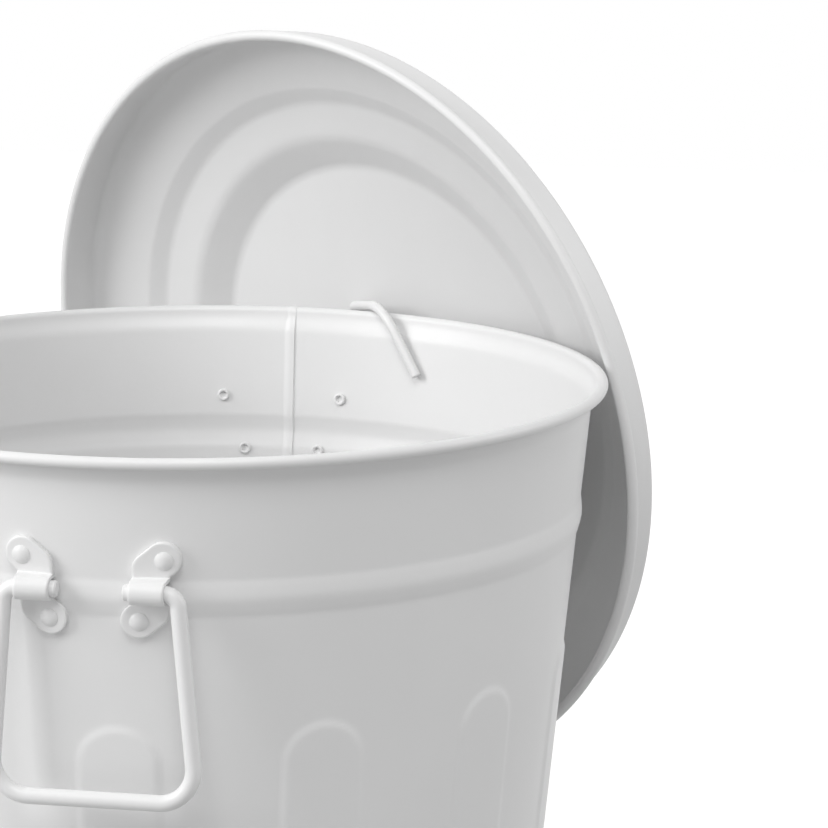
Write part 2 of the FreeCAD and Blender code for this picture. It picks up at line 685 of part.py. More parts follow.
def build_ear(name, side, place):
    """Slanted strap with a saddle over the handle wire, in the handle's frame. Its back follows
    the wall and its bead."""
    body = new_body(name)
    centre, across, up, normal = ear_frame(side)
    tangent = Placement(centre, Rotation(across, up, normal, "ZXY"))
    deep = 2.0
    behind = Placement(centre - normal * deep, Rotation(across, up, normal, "ZXY"))
    strap = new_sketch(body, name + "_strap", behind)
    lean_x = side * S["ear_lean"]
    sign = "-" if side > 0 else ""
    other = "" if side > 0 else "-"
    high = (-lean_x, S["ear_pitch"], sign + "Sizes.ear_lean", "Sizes.ear_pitch")
    low = (lean_x, -S["ear_pitch"], other + "Sizes.ear_lean", "-Sizes.ear_pitch")
    slot(strap, low, high, S["ear_width"] / 2, "Sizes.ear_width / 2")
    pad(body, name + "_plate", strap, deep + S["ear_gauge"] + S["bead_rise"],
        "%g + Sizes.ear_gauge + Sizes.bead_rise" % deep)
    cross = Placement(Vector(side * S["ear_place"], 0, 0),
                      Rotation(Vector(0, 1, 0), Vector(0, 0, 1), Vector(1, 0, 0), "ZXY"))
    bore = S["bail_wire"] / 2 + S["ear_clear"]
    bore_formula = "Sizes.bail_wire / 2 + Sizes.ear_clear"
    hump = new_sketch(body, name + "_hump", cross)
    saddle(hump, bore + S["ear_gauge"], bore_formula + " + Sizes.ear_gauge", 7.0)
    pad(body, name + "_saddle", hump, S["ear_width"], "Sizes.ear_width", both=True)
    fit_to_wall(body, name)
    tunnel = new_sketch(body, name + "_tunnel", cross)
    saddle(tunnel, bore, bore_formula, 12.0)
    pocket(body, name + "_bore", tunnel, 60.0, both=True)
    holes = new_sketch(body, name + "_holes", tangent)
    circles(holes, [low, high], S["rivet_shank"] + S["rivet_clear"],
            "Sizes.rivet_shank + Sizes.rivet_clear")
    pocket(body, name + "_drilled", holes, 12.0, both=True)
    body.Placement = place
    return body


def build_rivets(name, place):
    """Four rivets of one handle's ears."""
    group = []
    for label, side in SIDES:
        for level in (-1, 1):
            point, normal = ear_point(side, level)
            seat = point + normal * (S["ear_gauge"] + S["bead_rise"])
            one = rivet(S["ear_gauge"] + S["bead_rise"] + S["seat_gap"] + S["gauge"] + 0.2)
            one.Placement = along(seat, normal)
            group.append(one)
    return feature(name, Part.makeCompound(group), place)


def build_bail(name, place):
    """Drop handle in its own frame: the axis is X, the grip hangs along -Z."""
    deep = -S["bail_length"]
    neck = S["bail_neck"]
    wide = S["bail_half"]
    points = [
        Vector(-S["bail_end"], 0, 0),
        Vector(-neck, 0, 0),
        Vector(-wide, 0, deep),
        Vector(wide, 0, deep),
        Vector(neck, 0, 0),
        Vector(S["bail_end"], 0, 0),
    ]
    bends = [S["bail_elbow"], S["bail_corner"], S["bail_corner"], S["bail_elbow"]]
    return feature(name, bent_wire(points, bends, S["bail_wire"] / 2), place)


for end, place in (("front", FRONT), ("back", BACK)):
    for label, side in SIDES:
        build_ear("%s_ear_%s" % (end, label), side, place)
    build_rivets(end + "_ear_rivets", place)
    build_bail(end + "_handle", place)


# ---------------------------------------------------------------- lid
def lid_profile():
    """Section of the lid from its axis out to its curl."""
    g = S["gauge"]
    outer_skirt = skirt_inner + g
    corner = (shoulder_place, S["skirt_depth"])
    heights = [crown]
    for rise in ("slope_rise", "step_rise", "ledge_rise", "panel_rise"):
        heights.append(heights[-1] + S[rise])
    widths = [shoulder_place, slope_end, step_end, ledge_end, panel_radius]
    top = [(r, z) for r, z in zip(widths, heights)]
    top.reverse()
    under = [(r, z - g) for r, z in top]
    under.reverse()
    points = [(0, panel_out)] + top
    points.append((polar(corner, S["shoulder"], 45), polar(corner, S["shoulder"], 0)))
    inner_curl = [
        (outer_skirt, 0),
        (polar((lid_place, 0), S["curl_radius"] - g, -90), (lid_place + S["curl_radius"] - g, 0)),
    ]
    last = 180 - S["curl_open"]
    inner_curl.append((polar((lid_place, 0), S["curl_radius"] - g, last / 2),
                       polar((lid_place, 0), S["curl_radius"] - g, last)))
    inner_curl.append(polar((lid_place, 0), S["curl_radius"], last))
    inner_curl.append((polar((lid_place, 0), S["curl_radius"], last / 2),
                       (lid_place + S["curl_radius"], 0)))
    inner_curl.append((polar((lid_place, 0), S["curl_radius"], -90),
                       (lid_place - S["curl_radius"], 0)))
    points += inner_curl
    points.append((skirt_inner - S["skirt_draft"], S["skirt_depth"]))
    points.append((polar(corner, S["shoulder"] - g, 45), (shoulder_place, crown - g)))
    points += under[1:]
    points.append((0, panel_in))
    return points


def lid_drillings():
    """Rivet seats on the panel's outside in the lid's frame: ears, then hook clip."""
    ears = []
    for label, side in SIDES:
        for level in (-1, 1):
            ears.append(Vector(side * S["grip_ear"], level * S["grip_ear_pitch"], panel_out))
    clip = [Vector(side * S["clip_pitch"], S["clip_place"], panel_out) for label, side in SIDES]
    return ears, clip


def build_lid():
    """Pressed shell with rivet holes."""
    shell = ring(lid_profile())
    holes = []
    for spots in lid_drillings():
        for spot in spots:
            holes.append(Part.makeCylinder(S["rivet_shank"] + S["rivet_clear"], 12, spot - Vector(0, 0, 6)))
    return shell.cut(Part.makeCompound(holes))


feature("lid_shell", build_lid(), LID)


def build_lid_ear(name, side):
    """Straight strap over the lid handle's wire."""
    body = new_body(name)
    seat = "Sizes.grip_ear_pitch"
    flat = Placement(Vector(side * S["grip_ear"], 0, panel_out + S["seat_gap"]), Rotation())
    strap = new_sketch(body, name + "_strap", flat)
    low = (0, -S["grip_ear_pitch"], "0", "-" + seat)
    high = (0, S["grip_ear_pitch"], "0", seat)
    slot(strap, low, high, S["grip_ear_width"] / 2, "Sizes.grip_ear_width / 2")
    pad(body, name + "_plate", strap, S["ear_gauge"], "Sizes.ear_gauge")
    cross = Placement(Vector(side * S["grip_ear"], 0, grip_height),
                      Rotation(Vector(0, 0, 1), Vector(0, -1, 0), Vector(1, 0, 0), "ZXY"))
    bore = S["grip_wire"] / 2 + S["ear_clear"]
    bore_formula = "Sizes.grip_wire / 2 + Sizes.ear_clear"
    hump = new_sketch(body, name + "_hump", cross)
    saddle(hump, bore + S["ear_gauge"], bore_formula + " + Sizes.ear_gauge", 9.0)
    pad(body, name + "_saddle", hump, S["grip_ear_width"], "Sizes.grip_ear_width", both=True)
    behind = new_sketch(body, name + "_behind", flat)
    box_outline(behind, 30.0)
    pocket(body, name + "_trim", behind, 20.0)
    tunnel = new_sketch(body, name + "_tunnel", cross)
    saddle(tunnel, bore, bore_formula, 12.0)
    pocket(body, name + "_bore", tunnel, 60.0, both=True)
    holes = new_sketch(body, name + "_holes", flat)
    circles(holes, [low, high], S["rivet_shank"] + S["rivet_clear"],
            "Sizes.rivet_shank + Sizes.rivet_clear")
    pocket(body, name + "_drilled", holes, 6.0, back=True)
    body.Placement = LID
    return body


for label, side in SIDES:
    build_lid_ear("lid_ear_" + label, side)


def lid_rivets(name, spots, lift, held):
    """Rivets with their heads on the dome side, in the lid's frame."""
    group = []
    for spot in spots:
        one = rivet(held)
        one.Placement = Placement(spot + Vector(0, 0, lift), Rotation())
        group.append(one)
    return feature(name, Part.makeCompound(group), LID)


ear_spots, clip_spots = lid_drillings()
lid_rivets("lid_ear_rivets", ear_spots, S["ear_gauge"] + S["seat_gap"],
           S["ear_gauge"] + S["seat_gap"] + S["gauge"])
lid_rivets("hook_clip_rivets", clip_spots, 0.0, S["gauge"] + S["seat_gap"] + S["clip_gauge"])


def build_grip():
    """Lid handle lying on the panel, its axis along the lid's X."""
    wide = S["grip_half"]
    points = [
        Vector(-S["grip_end"], 0, grip_height),
        Vector(-wide, 0, grip_height),
        Vector(-wide, -S["grip_length"], grip_height),
        Vector(wide, -S["grip_length"], grip_height),
        Vector(wide, 0, grip_height),
        Vector(S["grip_end"], 0, grip_height),
    ]
    bends = [S["grip_elbow"], S["grip_corner"], S["grip_corner"], S["grip_elbow"]]
    return feature("lid_handle", bent_wire(points, bends, S["grip_wire"] / 2), LID)


build_grip()


# ---------------------------------------------------------------- hook
def build_hook():
    """Wire hook: a leg on the lid's panel, an arm across the rim and a free leg in the can."""
    over = Vector(-S["hook_span"], S["hook_top"] - S["hook_fall"], leg_height - S["hook_reach"])
    tip = over + Vector(-S["hook_splay"], -S["hook_leg"], -S["hook_out"])
    points = [
        Vector(0, -S["hook_tail"], leg_height),
        Vector(0, S["hook_top"], leg_height),
        over,
        tip,
    ]
    bends = [S["hook_bend"], S["hook_bend_two"]]
    return feature("lid_hook", bent_wire(points, bends, S["hook_wire"] / 2), LID)


build_hook()


def build_clip():
    """Strap that holds the hook's leg against the panel's inside."""
    name = "hook_clip"
    body = new_body(name)
    down = Rotation(Vector(1, 0, 0), Vector(0, -1, 0), Vector(0, 0, -1), "ZXY")
    flat = Placement(Vector(0, S["clip_place"], panel_in - S["seat_gap"]), down)
    strap = new_sketch(body, name + "_strap", flat)
    left = (-S["clip_pitch"], 0, "-Sizes.clip_pitch", "0")
    right = (S["clip_pitch"], 0, "Sizes.clip_pitch", "0")
    slot(strap, left, right, S["clip_width"] / 2, "Sizes.clip_width / 2")
    pad(body, name + "_plate", strap, S["clip_gauge"], "Sizes.clip_gauge")
    cross = Placement(Vector(0, S["clip_place"], leg_height),
                      Rotation(Vector(0, 0, -1), Vector(1, 0, 0), Vector(0, -1, 0), "ZXY"))
    bore = S["hook_wire"] / 2 + S["seat_gap"]
    bore_formula = "Sizes.hook_wire / 2 + Sizes.seat_gap"
    hump = new_sketch(body, name + "_hump", cross)
    saddle(hump, bore + S["clip_gauge"], bore_formula + " + Sizes.clip_gauge", 6.0)
    pad(body, name + "_saddle", hump, S["clip_width"], "Sizes.clip_width", both=True)
    behind = new_sketch(body, name + "_behind", flat)
    box_outline(behind, 30.0)
    pocket(body, name + "_trim", behind, 20.0)
    tunnel = new_sketch(body, name + "_tunnel", cross)
    saddle(tunnel, bore, bore_formula, 9.0)
    pocket(body, name + "_bore", tunnel, 60.0, both=True)
    holes = new_sketch(body, name + "_holes", flat)
    circles(holes, [left, right], S["rivet_shank"] + S["rivet_clear"],
            "Sizes.rivet_shank + Sizes.rivet_clear")
    pocket(body, name + "_drilled", holes, 6.0, back=True)
    body.Placement = LID
    return body


build_clip()


# ---------------------------------------------------------------- checks and files
NODES = [
    "can_wall", "can_rim_wire", "bottom_pan",
    "front_ear_left", "front_ear_right", "front_ear_rivets", "front_handle",
    "back_ear_left", "back_ear_right", "back_ear_rivets", "back_handle",
    "lid_shell", "lid_rim_wire", "lid_ear_left", "lid_ear_right", "lid_ear_rivets", "lid_handle",
    "lid_hook", "hook_clip", "hook_clip_rivets",
]
doc.recompute()
for item in doc.Objects:
    for state in item.State:
        if state in ("Invalid", "Error"):
            raise RuntimeError(item.Name + " did not compute")
pieces = {}
for name in NODES:
    piece = doc.getObjectsByLabel(name)[0]
    shape = piece.Shape
    if shape.isNull() or not shape.isValid() or not shape.Solids:
        raise RuntimeError(name + " has no valid solid")
    pieces[name] = shape
os.makedirs("parts", exist_ok=True)
for name, shape in pieces.items():
    shape.exportStep(os.path.join("parts", name + ".step"))
    box = shape.BoundBox
    print("%-18s solids %d volume %10.1f  x %7.1f %7.1f  y %7.1f %7.1f  z %7.1f %7.1f" % (
        name, len(shape.Solids), shape.Volume, box.XMin, box.XMax, box.YMin, box.YMax,
        box.ZMin, box.ZMax))
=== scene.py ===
"""Lidded trash can in coated sheet metal: the visual pieces, their finish and a plain studio.

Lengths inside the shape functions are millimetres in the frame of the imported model, +Z up, with
the origin at the centre of the foot. Angles around the can are measured from +X towards +Y.
"""
import math

import bmesh
import bpy
import numpy as np
from bpy.props import FloatProperty, FloatVectorProperty, IntProperty, PointerProperty
from mathutils import Matrix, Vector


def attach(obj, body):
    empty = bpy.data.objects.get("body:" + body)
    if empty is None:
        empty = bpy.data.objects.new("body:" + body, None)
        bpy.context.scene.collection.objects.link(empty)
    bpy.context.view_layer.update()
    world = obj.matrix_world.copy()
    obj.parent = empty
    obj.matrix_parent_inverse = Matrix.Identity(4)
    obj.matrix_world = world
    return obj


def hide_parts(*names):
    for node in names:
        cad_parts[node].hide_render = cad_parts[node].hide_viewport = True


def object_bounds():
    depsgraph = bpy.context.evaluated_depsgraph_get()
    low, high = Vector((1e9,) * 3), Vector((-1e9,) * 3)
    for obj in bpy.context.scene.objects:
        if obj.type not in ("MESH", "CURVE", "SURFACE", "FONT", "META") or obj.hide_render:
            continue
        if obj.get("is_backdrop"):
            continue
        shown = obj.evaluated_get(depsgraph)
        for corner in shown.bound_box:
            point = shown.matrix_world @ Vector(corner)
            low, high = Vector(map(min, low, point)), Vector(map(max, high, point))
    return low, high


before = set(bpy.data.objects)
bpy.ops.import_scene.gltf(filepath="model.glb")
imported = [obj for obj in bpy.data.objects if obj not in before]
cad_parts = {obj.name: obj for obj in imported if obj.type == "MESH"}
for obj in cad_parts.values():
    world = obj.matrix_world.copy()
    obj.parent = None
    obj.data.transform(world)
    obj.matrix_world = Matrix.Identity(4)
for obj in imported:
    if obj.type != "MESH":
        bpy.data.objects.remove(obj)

bl_info = {
    "name": "Lidded trash can",
    "version": (1, 0, 0),
    "blender": (4, 5, 0),
    "location": "View3D > Sidebar > Trash can",
    "description": "Builds a lidded sheet-metal trash can around its packed model",
    "category": "Add Mesh",
}

CAD_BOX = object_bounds()
MM = 0.001
TAU = 2 * math.pi
PAN_PLAY = 0.12  # mm, between the floor pan's flange and the wall's hem


# ---------- sizes and looks
def length(name, value, text):
    """Length in millimetres."""
    return FloatProperty(name=name, description=text + ", in mm", default=value, min=0.0)


def degrees(name, value, text):
    """Angle in degrees."""
    return FloatProperty(name=name, description=text + ", in degrees", default=value)


def share(name, value, text):
    """Number from 0 to 1."""
    return FloatProperty(name=name, description=text, default=value, min=0.0, max=1.0,
                         subtype="FACTOR")


def power(name, value, text):
    """Power of a lamp."""
    return FloatProperty(name=name, description=text, default=value, min=0.0, unit="POWER")


def colour(name, value, text):
    """Linear colour."""
    return FloatVectorProperty(name=name, description=text, default=value, size=3, min=0.0, max=1.0,
                               subtype="COLOR")


class CanSizes(bpy.types.PropertyGroup):
    height: length("Height", 250.0, "Floor to the top of the rim")
    rim: length("Rim radius", 160.0, "Outside of the curled rim")
    base: length("Base radius", 129.0, "Outside of the wall at the floor")
    gauge: length("Gauge", 0.6, "Sheet thickness")
    curl: length("Curl radius", 2.2, "Outside radius of the curled edges")
    flare: length("Flare depth", 9.0, "Height over which the wall flares under the curl")
    step: length("Curl step", 1.3, "Inside of the curl to the tapered wall's outside")
    bead: length("Bead height", 197.2, "Centre of the bead ring above the floor")
    bead_width: length("Bead width", 11.5, "Height of the bead ring")
    bead_rise: length("Bead rise", 1.2, "How far the bead stands out")
    flutes: IntProperty(name="Flutes", description="Raised flutes around the wall", default=12,
                        min=3)
    flute_turn: degrees("Flute turn", 2.4, "Angle of the first flute from the front handle")
    flute_top: length("Flute top", 149.5, "Crown of the flutes' upper arches")
    flute_low: length("Flute foot", 24.0, "Crown of the flutes' lower arches")
    flute_half: length("Flute half width", 16.1, "Half the width of a flute")
    flute_arch: length("Arch height", 13.5, "Height of the flutes' arches")
    flute_rise: length("Flute rise", 0.8, "How far a flute stands out")
    flute_edge: length("Flute edge", 3.2, "Width of a flute's sloping edge")
    seam_turn: degrees("Seam turn", 0.85, "Angle of the lap seam from the back handle")
    seam_width: length("Seam width", 5.0, "Width of the lap seam inside the wall")
    pan_rise: length("Pan rise", 9.0, "Underside of the floor pan above the ground")
    ear_gauge: length("Ear thickness", 1.2, "Strap thickness of the ears")


class EarSizes(bpy.types.PropertyGroup):
    drop: length("Axis drop", 46.8, "Centre of the rim's curl to the can handles' axis")
    gap: length("Wire gap", 0.4, "Clearance of a handle's wire from what it lies on")
    place: length("Ear place", 20.9, "Half the distance between a can handle's ears")
    lean: length("Ear lean", 4.65, "Sideways offset of a rivet from its ear's middle")
    pitch: length("Ear pitch", 11.4, "Height offset of a rivet from its ear's middle")
    half: length("Ear half width", 6.5, "Half the width of a can ear's strap")
    lid_place: length("Lid ear place", 33.0, "Half the distance between the lid's ears")
    lid_pitch: length("Lid ear pitch", 10.0, "Rivet of a lid ear from the handle's axis")
    lid_half: length("Lid ear half width", 5.5, "Half the width of a lid ear's strap")
    clear: length("Tunnel clearance", 0.15, "Clearance of a handle's wire in its straps")
    seat: length("Seat clearance", 0.05, "Clearance between a strap and the sheet")


class WireSizes(bpy.types.PropertyGroup):
    bail: length("Handle wire", 6.0, "Diameter of the can handles' wire")
    bail_length: length("Handle drop", 76.5, "Handle axis to the middle of its grip")
    bail_end: length("Handle ends", 12.0, "Half the distance between the wire's two ends")
    bail_neck: length("Handle neck", 31.5, "Half width of the handle at its axis")
    bail_half: length("Handle half width", 38.0, "Half width of the handle at its grip")
    bail_corner: length("Handle corner", 13.0, "Bend radius of the handle's lower corners")
    elbow: length("Elbow", 5.0, "Bend radius of the handles beside their ears")
    grip: length("Lid handle wire", 5.0, "Diameter of the lid handle's wire")
    grip_end: length("Lid handle ends", 26.0, "Half the distance between its two ends")
    grip_half: length("Lid handle half width", 43.0, "Half width of the lid's handle")
    grip_length: length("Lid handle reach", 45.0, "Lid handle's axis to the middle of its grip")
    grip_corner: length("Lid handle corner", 12.0, "Bend radius of the lid handle's corners")
    hook: length("Hook wire", 4.0, "Diameter of the hook wire")


class LidSizes(bpy.types.PropertyGroup):
    clear: length("Lid clearance", 0.6, "Clearance of the lid's skirt over the rim")
    skirt: length("Skirt depth", 14.0, "Curl centre to the start of the shoulder")
    shoulder: length("Shoulder radius", 4.0, "Outside radius of the lid's shoulder")
    draft: length("Skirt draft", 0.4, "Inward lean of the skirt over its height")
    slope_width: length("Slope width", 23.0, "Width of the outer slope")
    slope_rise: length("Slope rise", 6.7, "Rise of the outer slope")
    step_width: length("Step width", 7.6, "Width of the lower step")
    step_rise: length("Step rise", 4.6, "Rise of the lower step")
    ledge_width: length("Ledge width", 16.0, "Width of the ledge above the lower step")
    ledge_rise: length("Ledge rise", 1.8, "Rise of the ledge")
    panel_width: length("Upper step width", 15.0, "Width of the upper step")
    panel_rise: length("Upper step rise", 9.1, "Rise of the upper step")
    crease: length("Crease radius", 9.0, "Bend radius of the pressed steps")


class HookSizes(bpy.types.PropertyGroup):
    turn: degrees("Turn", 31.1, "Direction the open lid's dome faces")
    tilt: degrees("Tilt", 10.7, "How far the dome looks up")
    roll: degrees("Roll", 30.0, "Turn of the hook's leg from upright")
    place: degrees("Rim place", 16.0, "Angle of the rim point that carries the hook")
    rise: length("Rise", 0.5, "Rise of the hook over the rim")
    seat_x: length("Seat sideways", 28.4, "Carrying rim point, sideways from the leg")
    seat_y: length("Seat up", 23.1, "The same point, up along the leg")
    seat_z: length("Seat depth", 15.0, "The same point, below the panel")
    tail: length("Tail", 16.0, "Leg length below the lid's centre")
    top: length("Top", 35.9, "Height of the first bend")
    span: length("Span", 35.6, "Distance between the two legs")
    fall: length("Fall", 8.9, "Drop of the arm from the first to the second bend")
    reach: length("Reach", 17.4, "Second bend from the leg towards the lid's mouth")
    leg: length("Free leg", 34.0, "Length of the free leg")
    splay: length("Splay", 2.4, "Sideways spread of the free leg's tip")
    out: length("Spread", 4.13, "Spread of the free leg's tip towards the mouth")
    bend: length("First bend", 5.0, "Radius of the first bend")
    bend_two: length("Second bend", 18.0, "Radius of the second bend")
    clip_place: length("Clip place", 12.0, "Centre of the hook's clip along the leg")
    clip_pitch: length("Clip pitch", 9.0, "Clip rivet from the leg")
    clip_half: length("Clip half width", 5.5, "Half the width of the clip's strap")
    clip_gauge: length("Clip thickness", 1.0, "Thickness of the clip's strap")


class Looks(bpy.types.PropertyGroup):
    coat: colour("Coat", (0.80, 0.80, 0.80), "Colour of the satin white coat")
    dust: colour("Shade", (0.75, 0.75, 0.75), "Colour of the coat where it lies thinner")
    rough: share("Roughness", 0.40, "Roughness of the coat on the sheet")
    key: power("Key lamp", 31.0, "Power of the large lamp to the front left")
    top: power("Top lamp", 15.5, "Power of the high lamp to the front")
    side: power("Side lamp", 8.0, "Power of the lamp to the right")
    sky: share("Sky", 0.37, "Strength of the even light from all round")
    ground: share("Floor", 0.42, "Grey of the floor")
    glow: share("Floor glow", 0.85, "Light that the camera sees the floor give off")


# ---------- numbers shared by the pieces
def can_sizes():
    """Can sizes of the scene."""
    return bpy.context.scene.bin_can


def ear_sizes():
    """Ear sizes of the scene."""
    return bpy.context.scene.bin_ear


def wire_sizes():
    """Wire sizes of the scene."""
    return bpy.context.scene.bin_wire


def lid_sizes():
    """Lid sizes of the scene."""
    return bpy.context.scene.bin_lid


def hook_sizes():
    """Sizes of the hook and of the lid's place on the rim."""
    return bpy.context.scene.bin_hook


def looks():
    """Colours and lamps of the scene."""
    return bpy.context.scene.bin_looks


def taper():
    """Growth of the wall's radius per unit of height."""
    c = can_sizes()
    return (c.rim - 2 * c.curl - c.step - c.base) / (c.height - c.curl)


def wall_radius(z):
    """Outside radius of the plain wall: base radius plus taper times height."""
    return can_sizes().base + taper() * np.asarray(z, float)


def bail_axis():
    """Height of a can handle's axis, and its distance from the can's axis."""
    c = can_sizes()
    e = ear_sizes()
    high = c.height - c.curl - e.drop
    return high, float(wall_radius(high)) + c.bead_rise + wire_sizes().bail / 2 + e.gap


def lid_heights():
    """Radii and outside heights of the lid's pressed steps, from the shoulder to the panel."""
    c = can_sizes()
    d = lid_sizes()
    place = c.rim + d.clear + c.gauge - d.draft - d.shoulder
    widths = [0.0, d.slope_width, d.step_width, d.ledge_width, d.panel_width]
    rises = [0.0, d.slope_rise, d.step_rise, d.ledge_rise, d.panel_rise]
    radii = place - np.cumsum(widths)
    heights = d.skirt + d.shoulder + np.cumsum(rises)
    return radii, heights


def lid_matrix():
    """Rotation and origin of the hanging lid: the dome faces a compass turn and looks up a
    little, the hook's leg is rolled from upright, and the hook's arm rests over the rim."""
    hook = hook_sizes()
    turn, tilt, roll = np.radians([hook.turn, hook.tilt, hook.roll])
    across = np.array([math.cos(turn), -math.sin(turn), 0.0])
    away = np.array([math.sin(turn), math.cos(turn), 0.0])
    upright = np.array([0.0, 0.0, 1.0])
    dome = away * math.cos(tilt) + upright * math.sin(tilt)
    upward = upright * math.cos(tilt) - away * math.sin(tilt)
    leg = upward * math.cos(roll) - across * math.sin(roll)
    axes = np.stack([np.cross(leg, dome), leg, dome], axis=1)
    c = can_sizes()
    place = math.radians(hook.place)
    rim = c.rim - c.curl
    seat = np.array([rim * math.sin(place), rim * math.cos(place), c.height - c.curl + hook.rise])
    panel = lid_heights()[1][-1] - c.gauge
    return axes, seat - axes @ np.array([-hook.seat_x, hook.seat_y, panel - hook.seat_z])


def to_lid(points):
    """Points of the lid's own frame in the part's frame."""
    axes, origin = lid_matrix()
    return points @ axes.T + origin


# ---------- shape functions
def ease(t):
    """Smooth step with flat ends: 6 t^5 - 15 t^4 + 10 t^3, held at 0 and 1 outside."""
    t = np.clip(t, 0.0, 1.0)
    return t * t * t * (t * (6 * t - 15) + 10)


def higher(a, b, soft):
    """Larger of two heights, blended over a soft distance: half of
    a + b + sqrt((a - b)^2 + soft^2)."""
    return 0.5 * (a + b + np.sqrt((a - b) ** 2 + soft ** 2))


def unit(v):
    """Vectors of length one."""
    return v / np.linalg.norm(v, axis=-1, keepdims=True)


def arc(centre, radius, first, last, count):
    """Points on a circle in a plane between two angles in degrees."""
    a = np.radians(np.linspace(first, last, count))
    return np.stack([centre[0] + radius * np.cos(a), centre[1] + radius * np.sin(a)], axis=1)


def rounded(points, radii, step, fine):
    """Line through the points with each inner corner replaced by an arc tangent to both runs.
    The arc's centre lies on the corner's bisector, its points turn evenly from one tangent point
    to the other; runs are divided about every step, arcs every fine."""
    points = [np.asarray(p, float) for p in points]
    out = []
    here = points[0]
    for i, radius in enumerate(radii, 1):
        back = unit(points[i - 1] - points[i])
        ahead = unit(points[i + 1] - points[i])
        half = 0.5 * math.acos(float(np.clip(back @ ahead, -1, 1)))
        run = radius / math.tan(half)
        centre = points[i] + unit(back + ahead) * (radius / math.sin(half))
        start = points[i] + back * run
        end = points[i] + ahead * run
        count = max(2, int(np.linalg.norm(start - here) / step) + 1)
        out.append(here + (start - here) * np.linspace(0, 1, count, endpoint=False)[:, None])
        swept = math.pi - 2 * half
        t = np.linspace(0, 1, max(3, int(radius * swept / fine) + 1), endpoint=False)[:, None]
        out.append(centre + ((start - centre) * np.sin((1 - t) * swept)
                             + (end - centre) * np.sin(t * swept)) / math.sin(swept))
        here = end
    count = max(2, int(np.linalg.norm(points[-1] - here) / step) + 1)
    out.append(here + (points[-1] - here) * np.linspace(0, 1, count)[:, None])
    return np.concatenate(out)


def sheet_section(path, gauge):
    """Closed section of a sheet about its middle line: the line moved half a gauge to its left,
    then back along the line moved half a gauge to its right."""
    way = unit(np.gradient(path, axis=0))
    side = np.stack([-way[:, 1], way[:, 0]], axis=1) * (gauge / 2)
    return np.concatenate([path + side, (path - side)[::-1]])


def turned(section, columns):
    """Section of (radius, height) turned about Z: x = radius cos a, y = radius sin a."""
    a = np.linspace(0, TAU, columns, endpoint=False)
    r = section[:, 0][:, None]
    z = np.broadcast_to(section[:, 1][:, None], (len(section), columns))
    return np.stack([r * np.cos(a), r * np.sin(a), z], axis=2)


def tube(path, radius, reference, sides=28):
    """Round wire along a path, cut flat at its ends with a small broken edge: each ring is
    path + r (n cos a + b sin a), with n the reference made square to the way along the path."""
    path = np.asarray(path, float)
    way = unit(np.gradient(path, axis=0))
    edge = 0.2 * radius
    path = np.concatenate([path[:1], path[:1], path[:1] + way[:1] * edge, path[1:-1],
                           path[-1:] - way[-1:] * edge, path[-1:], path[-1:]])
    way = np.concatenate([way[:1]] * 2 + [way] + [way[-1:]] * 2)
    r = np.full(len(path), radius)
    r[[0, -1]] = 0.0
    r[[1, -2]] = radius - edge
    reference = np.asarray(reference, float)
    normal = unit(reference - way * (way @ reference)[:, None])
    other = np.cross(way, normal)
    a = np.linspace(0, TAU, sides, endpoint=False)[None, :, None]
    ring = normal[:, None] * np.cos(a) + other[:, None] * np.sin(a)
    return path[:, None] + r[:, None, None] * ring


def strap(centre, slant, pitch, half, bore, wall, plate, seat, level, rows=92, columns=17):
    """Strap over a wire: a round-ended plate whose middle humps over the wire. In its own
    coordinates (across, along, height) the outline is every point within half of a middle line,
    which runs straight under the hump and leans by slant to the rivets at both pitches. The top is
    the higher of the plate and a half circle of radius bore + wall about the wire's axis, which
    lies at height level; the underside is the seat, or the wire's tunnel where that is higher.
    The rows are closer at the edges of the hump and of the tunnel."""
    far, slope, blend, soft = 1e9, 9.0, 0.9, 0.7
    end = pitch + half
    out = bore + wall
    even = np.cos(np.linspace(math.pi, 0, rows)) * end
    turns = np.sin(np.radians(np.arange(7.5, 90, 7.5)))
    extra = np.concatenate([bore * turns, out * turns, [bore - 0.02, bore + 0.02, out],
                            [out + 0.3, out + 0.7]])
    along = np.unique(np.concatenate([even, extra, -extra]))
    t = np.linspace(-1, 1, 241)[None, :]
    reach = np.clip(half ** 2 - (along[:, None] - t * pitch) ** 2, 0, None)
    inside = np.abs(along[:, None] - t * pitch) <= half + 1e-9
    bow = out + half / 2
    lean = np.sign(t) * np.clip(np.abs(t) * pitch - bow, 0, None) / (pitch - bow)
    middle = centre + lean * slant
    right = np.where(inside, middle + np.sqrt(reach), -far).max(axis=1)
    left = np.where(inside, middle - np.sqrt(reach), far).min(axis=1)
    v = np.sin(np.linspace(-1, 1, columns) * math.pi / 2)
    x = (left + right)[:, None] / 2 + (right - left)[:, None] / 2 * v
    y = np.broadcast_to(along[:, None], x.shape)
    depth = half - np.hypot(x[:, :, None] - middle, y[:, :, None] - t * pitch).min(axis=2)
    drop = soft - np.sqrt(np.clip(soft ** 2 - np.clip(soft - depth, 0, soft) ** 2, 0, None))
    hump = np.sqrt(np.clip(out ** 2 - y ** 2, 0, None))
    hump = np.where(np.abs(y) < out, hump, -slope * (np.abs(y) - out)) + level
    top = higher(plate(x, y), hump, blend) - drop
    low = seat(x, y)
    tunnel = np.sqrt(np.clip(bore ** 2 - y ** 2, 0, None)) + level
    under = np.where(np.abs(y) < bore, np.maximum(low, tunnel), low)
    over = np.stack([x, y, top], axis=2)
    below = np.stack([x, y, np.minimum(under, top)], axis=2)[:, ::-1]
    return np.concatenate([over, below], axis=1)


def level_at(height):
    """Flat plate or seat of a strap."""
    return lambda x, y: np.full(x.shape, height)


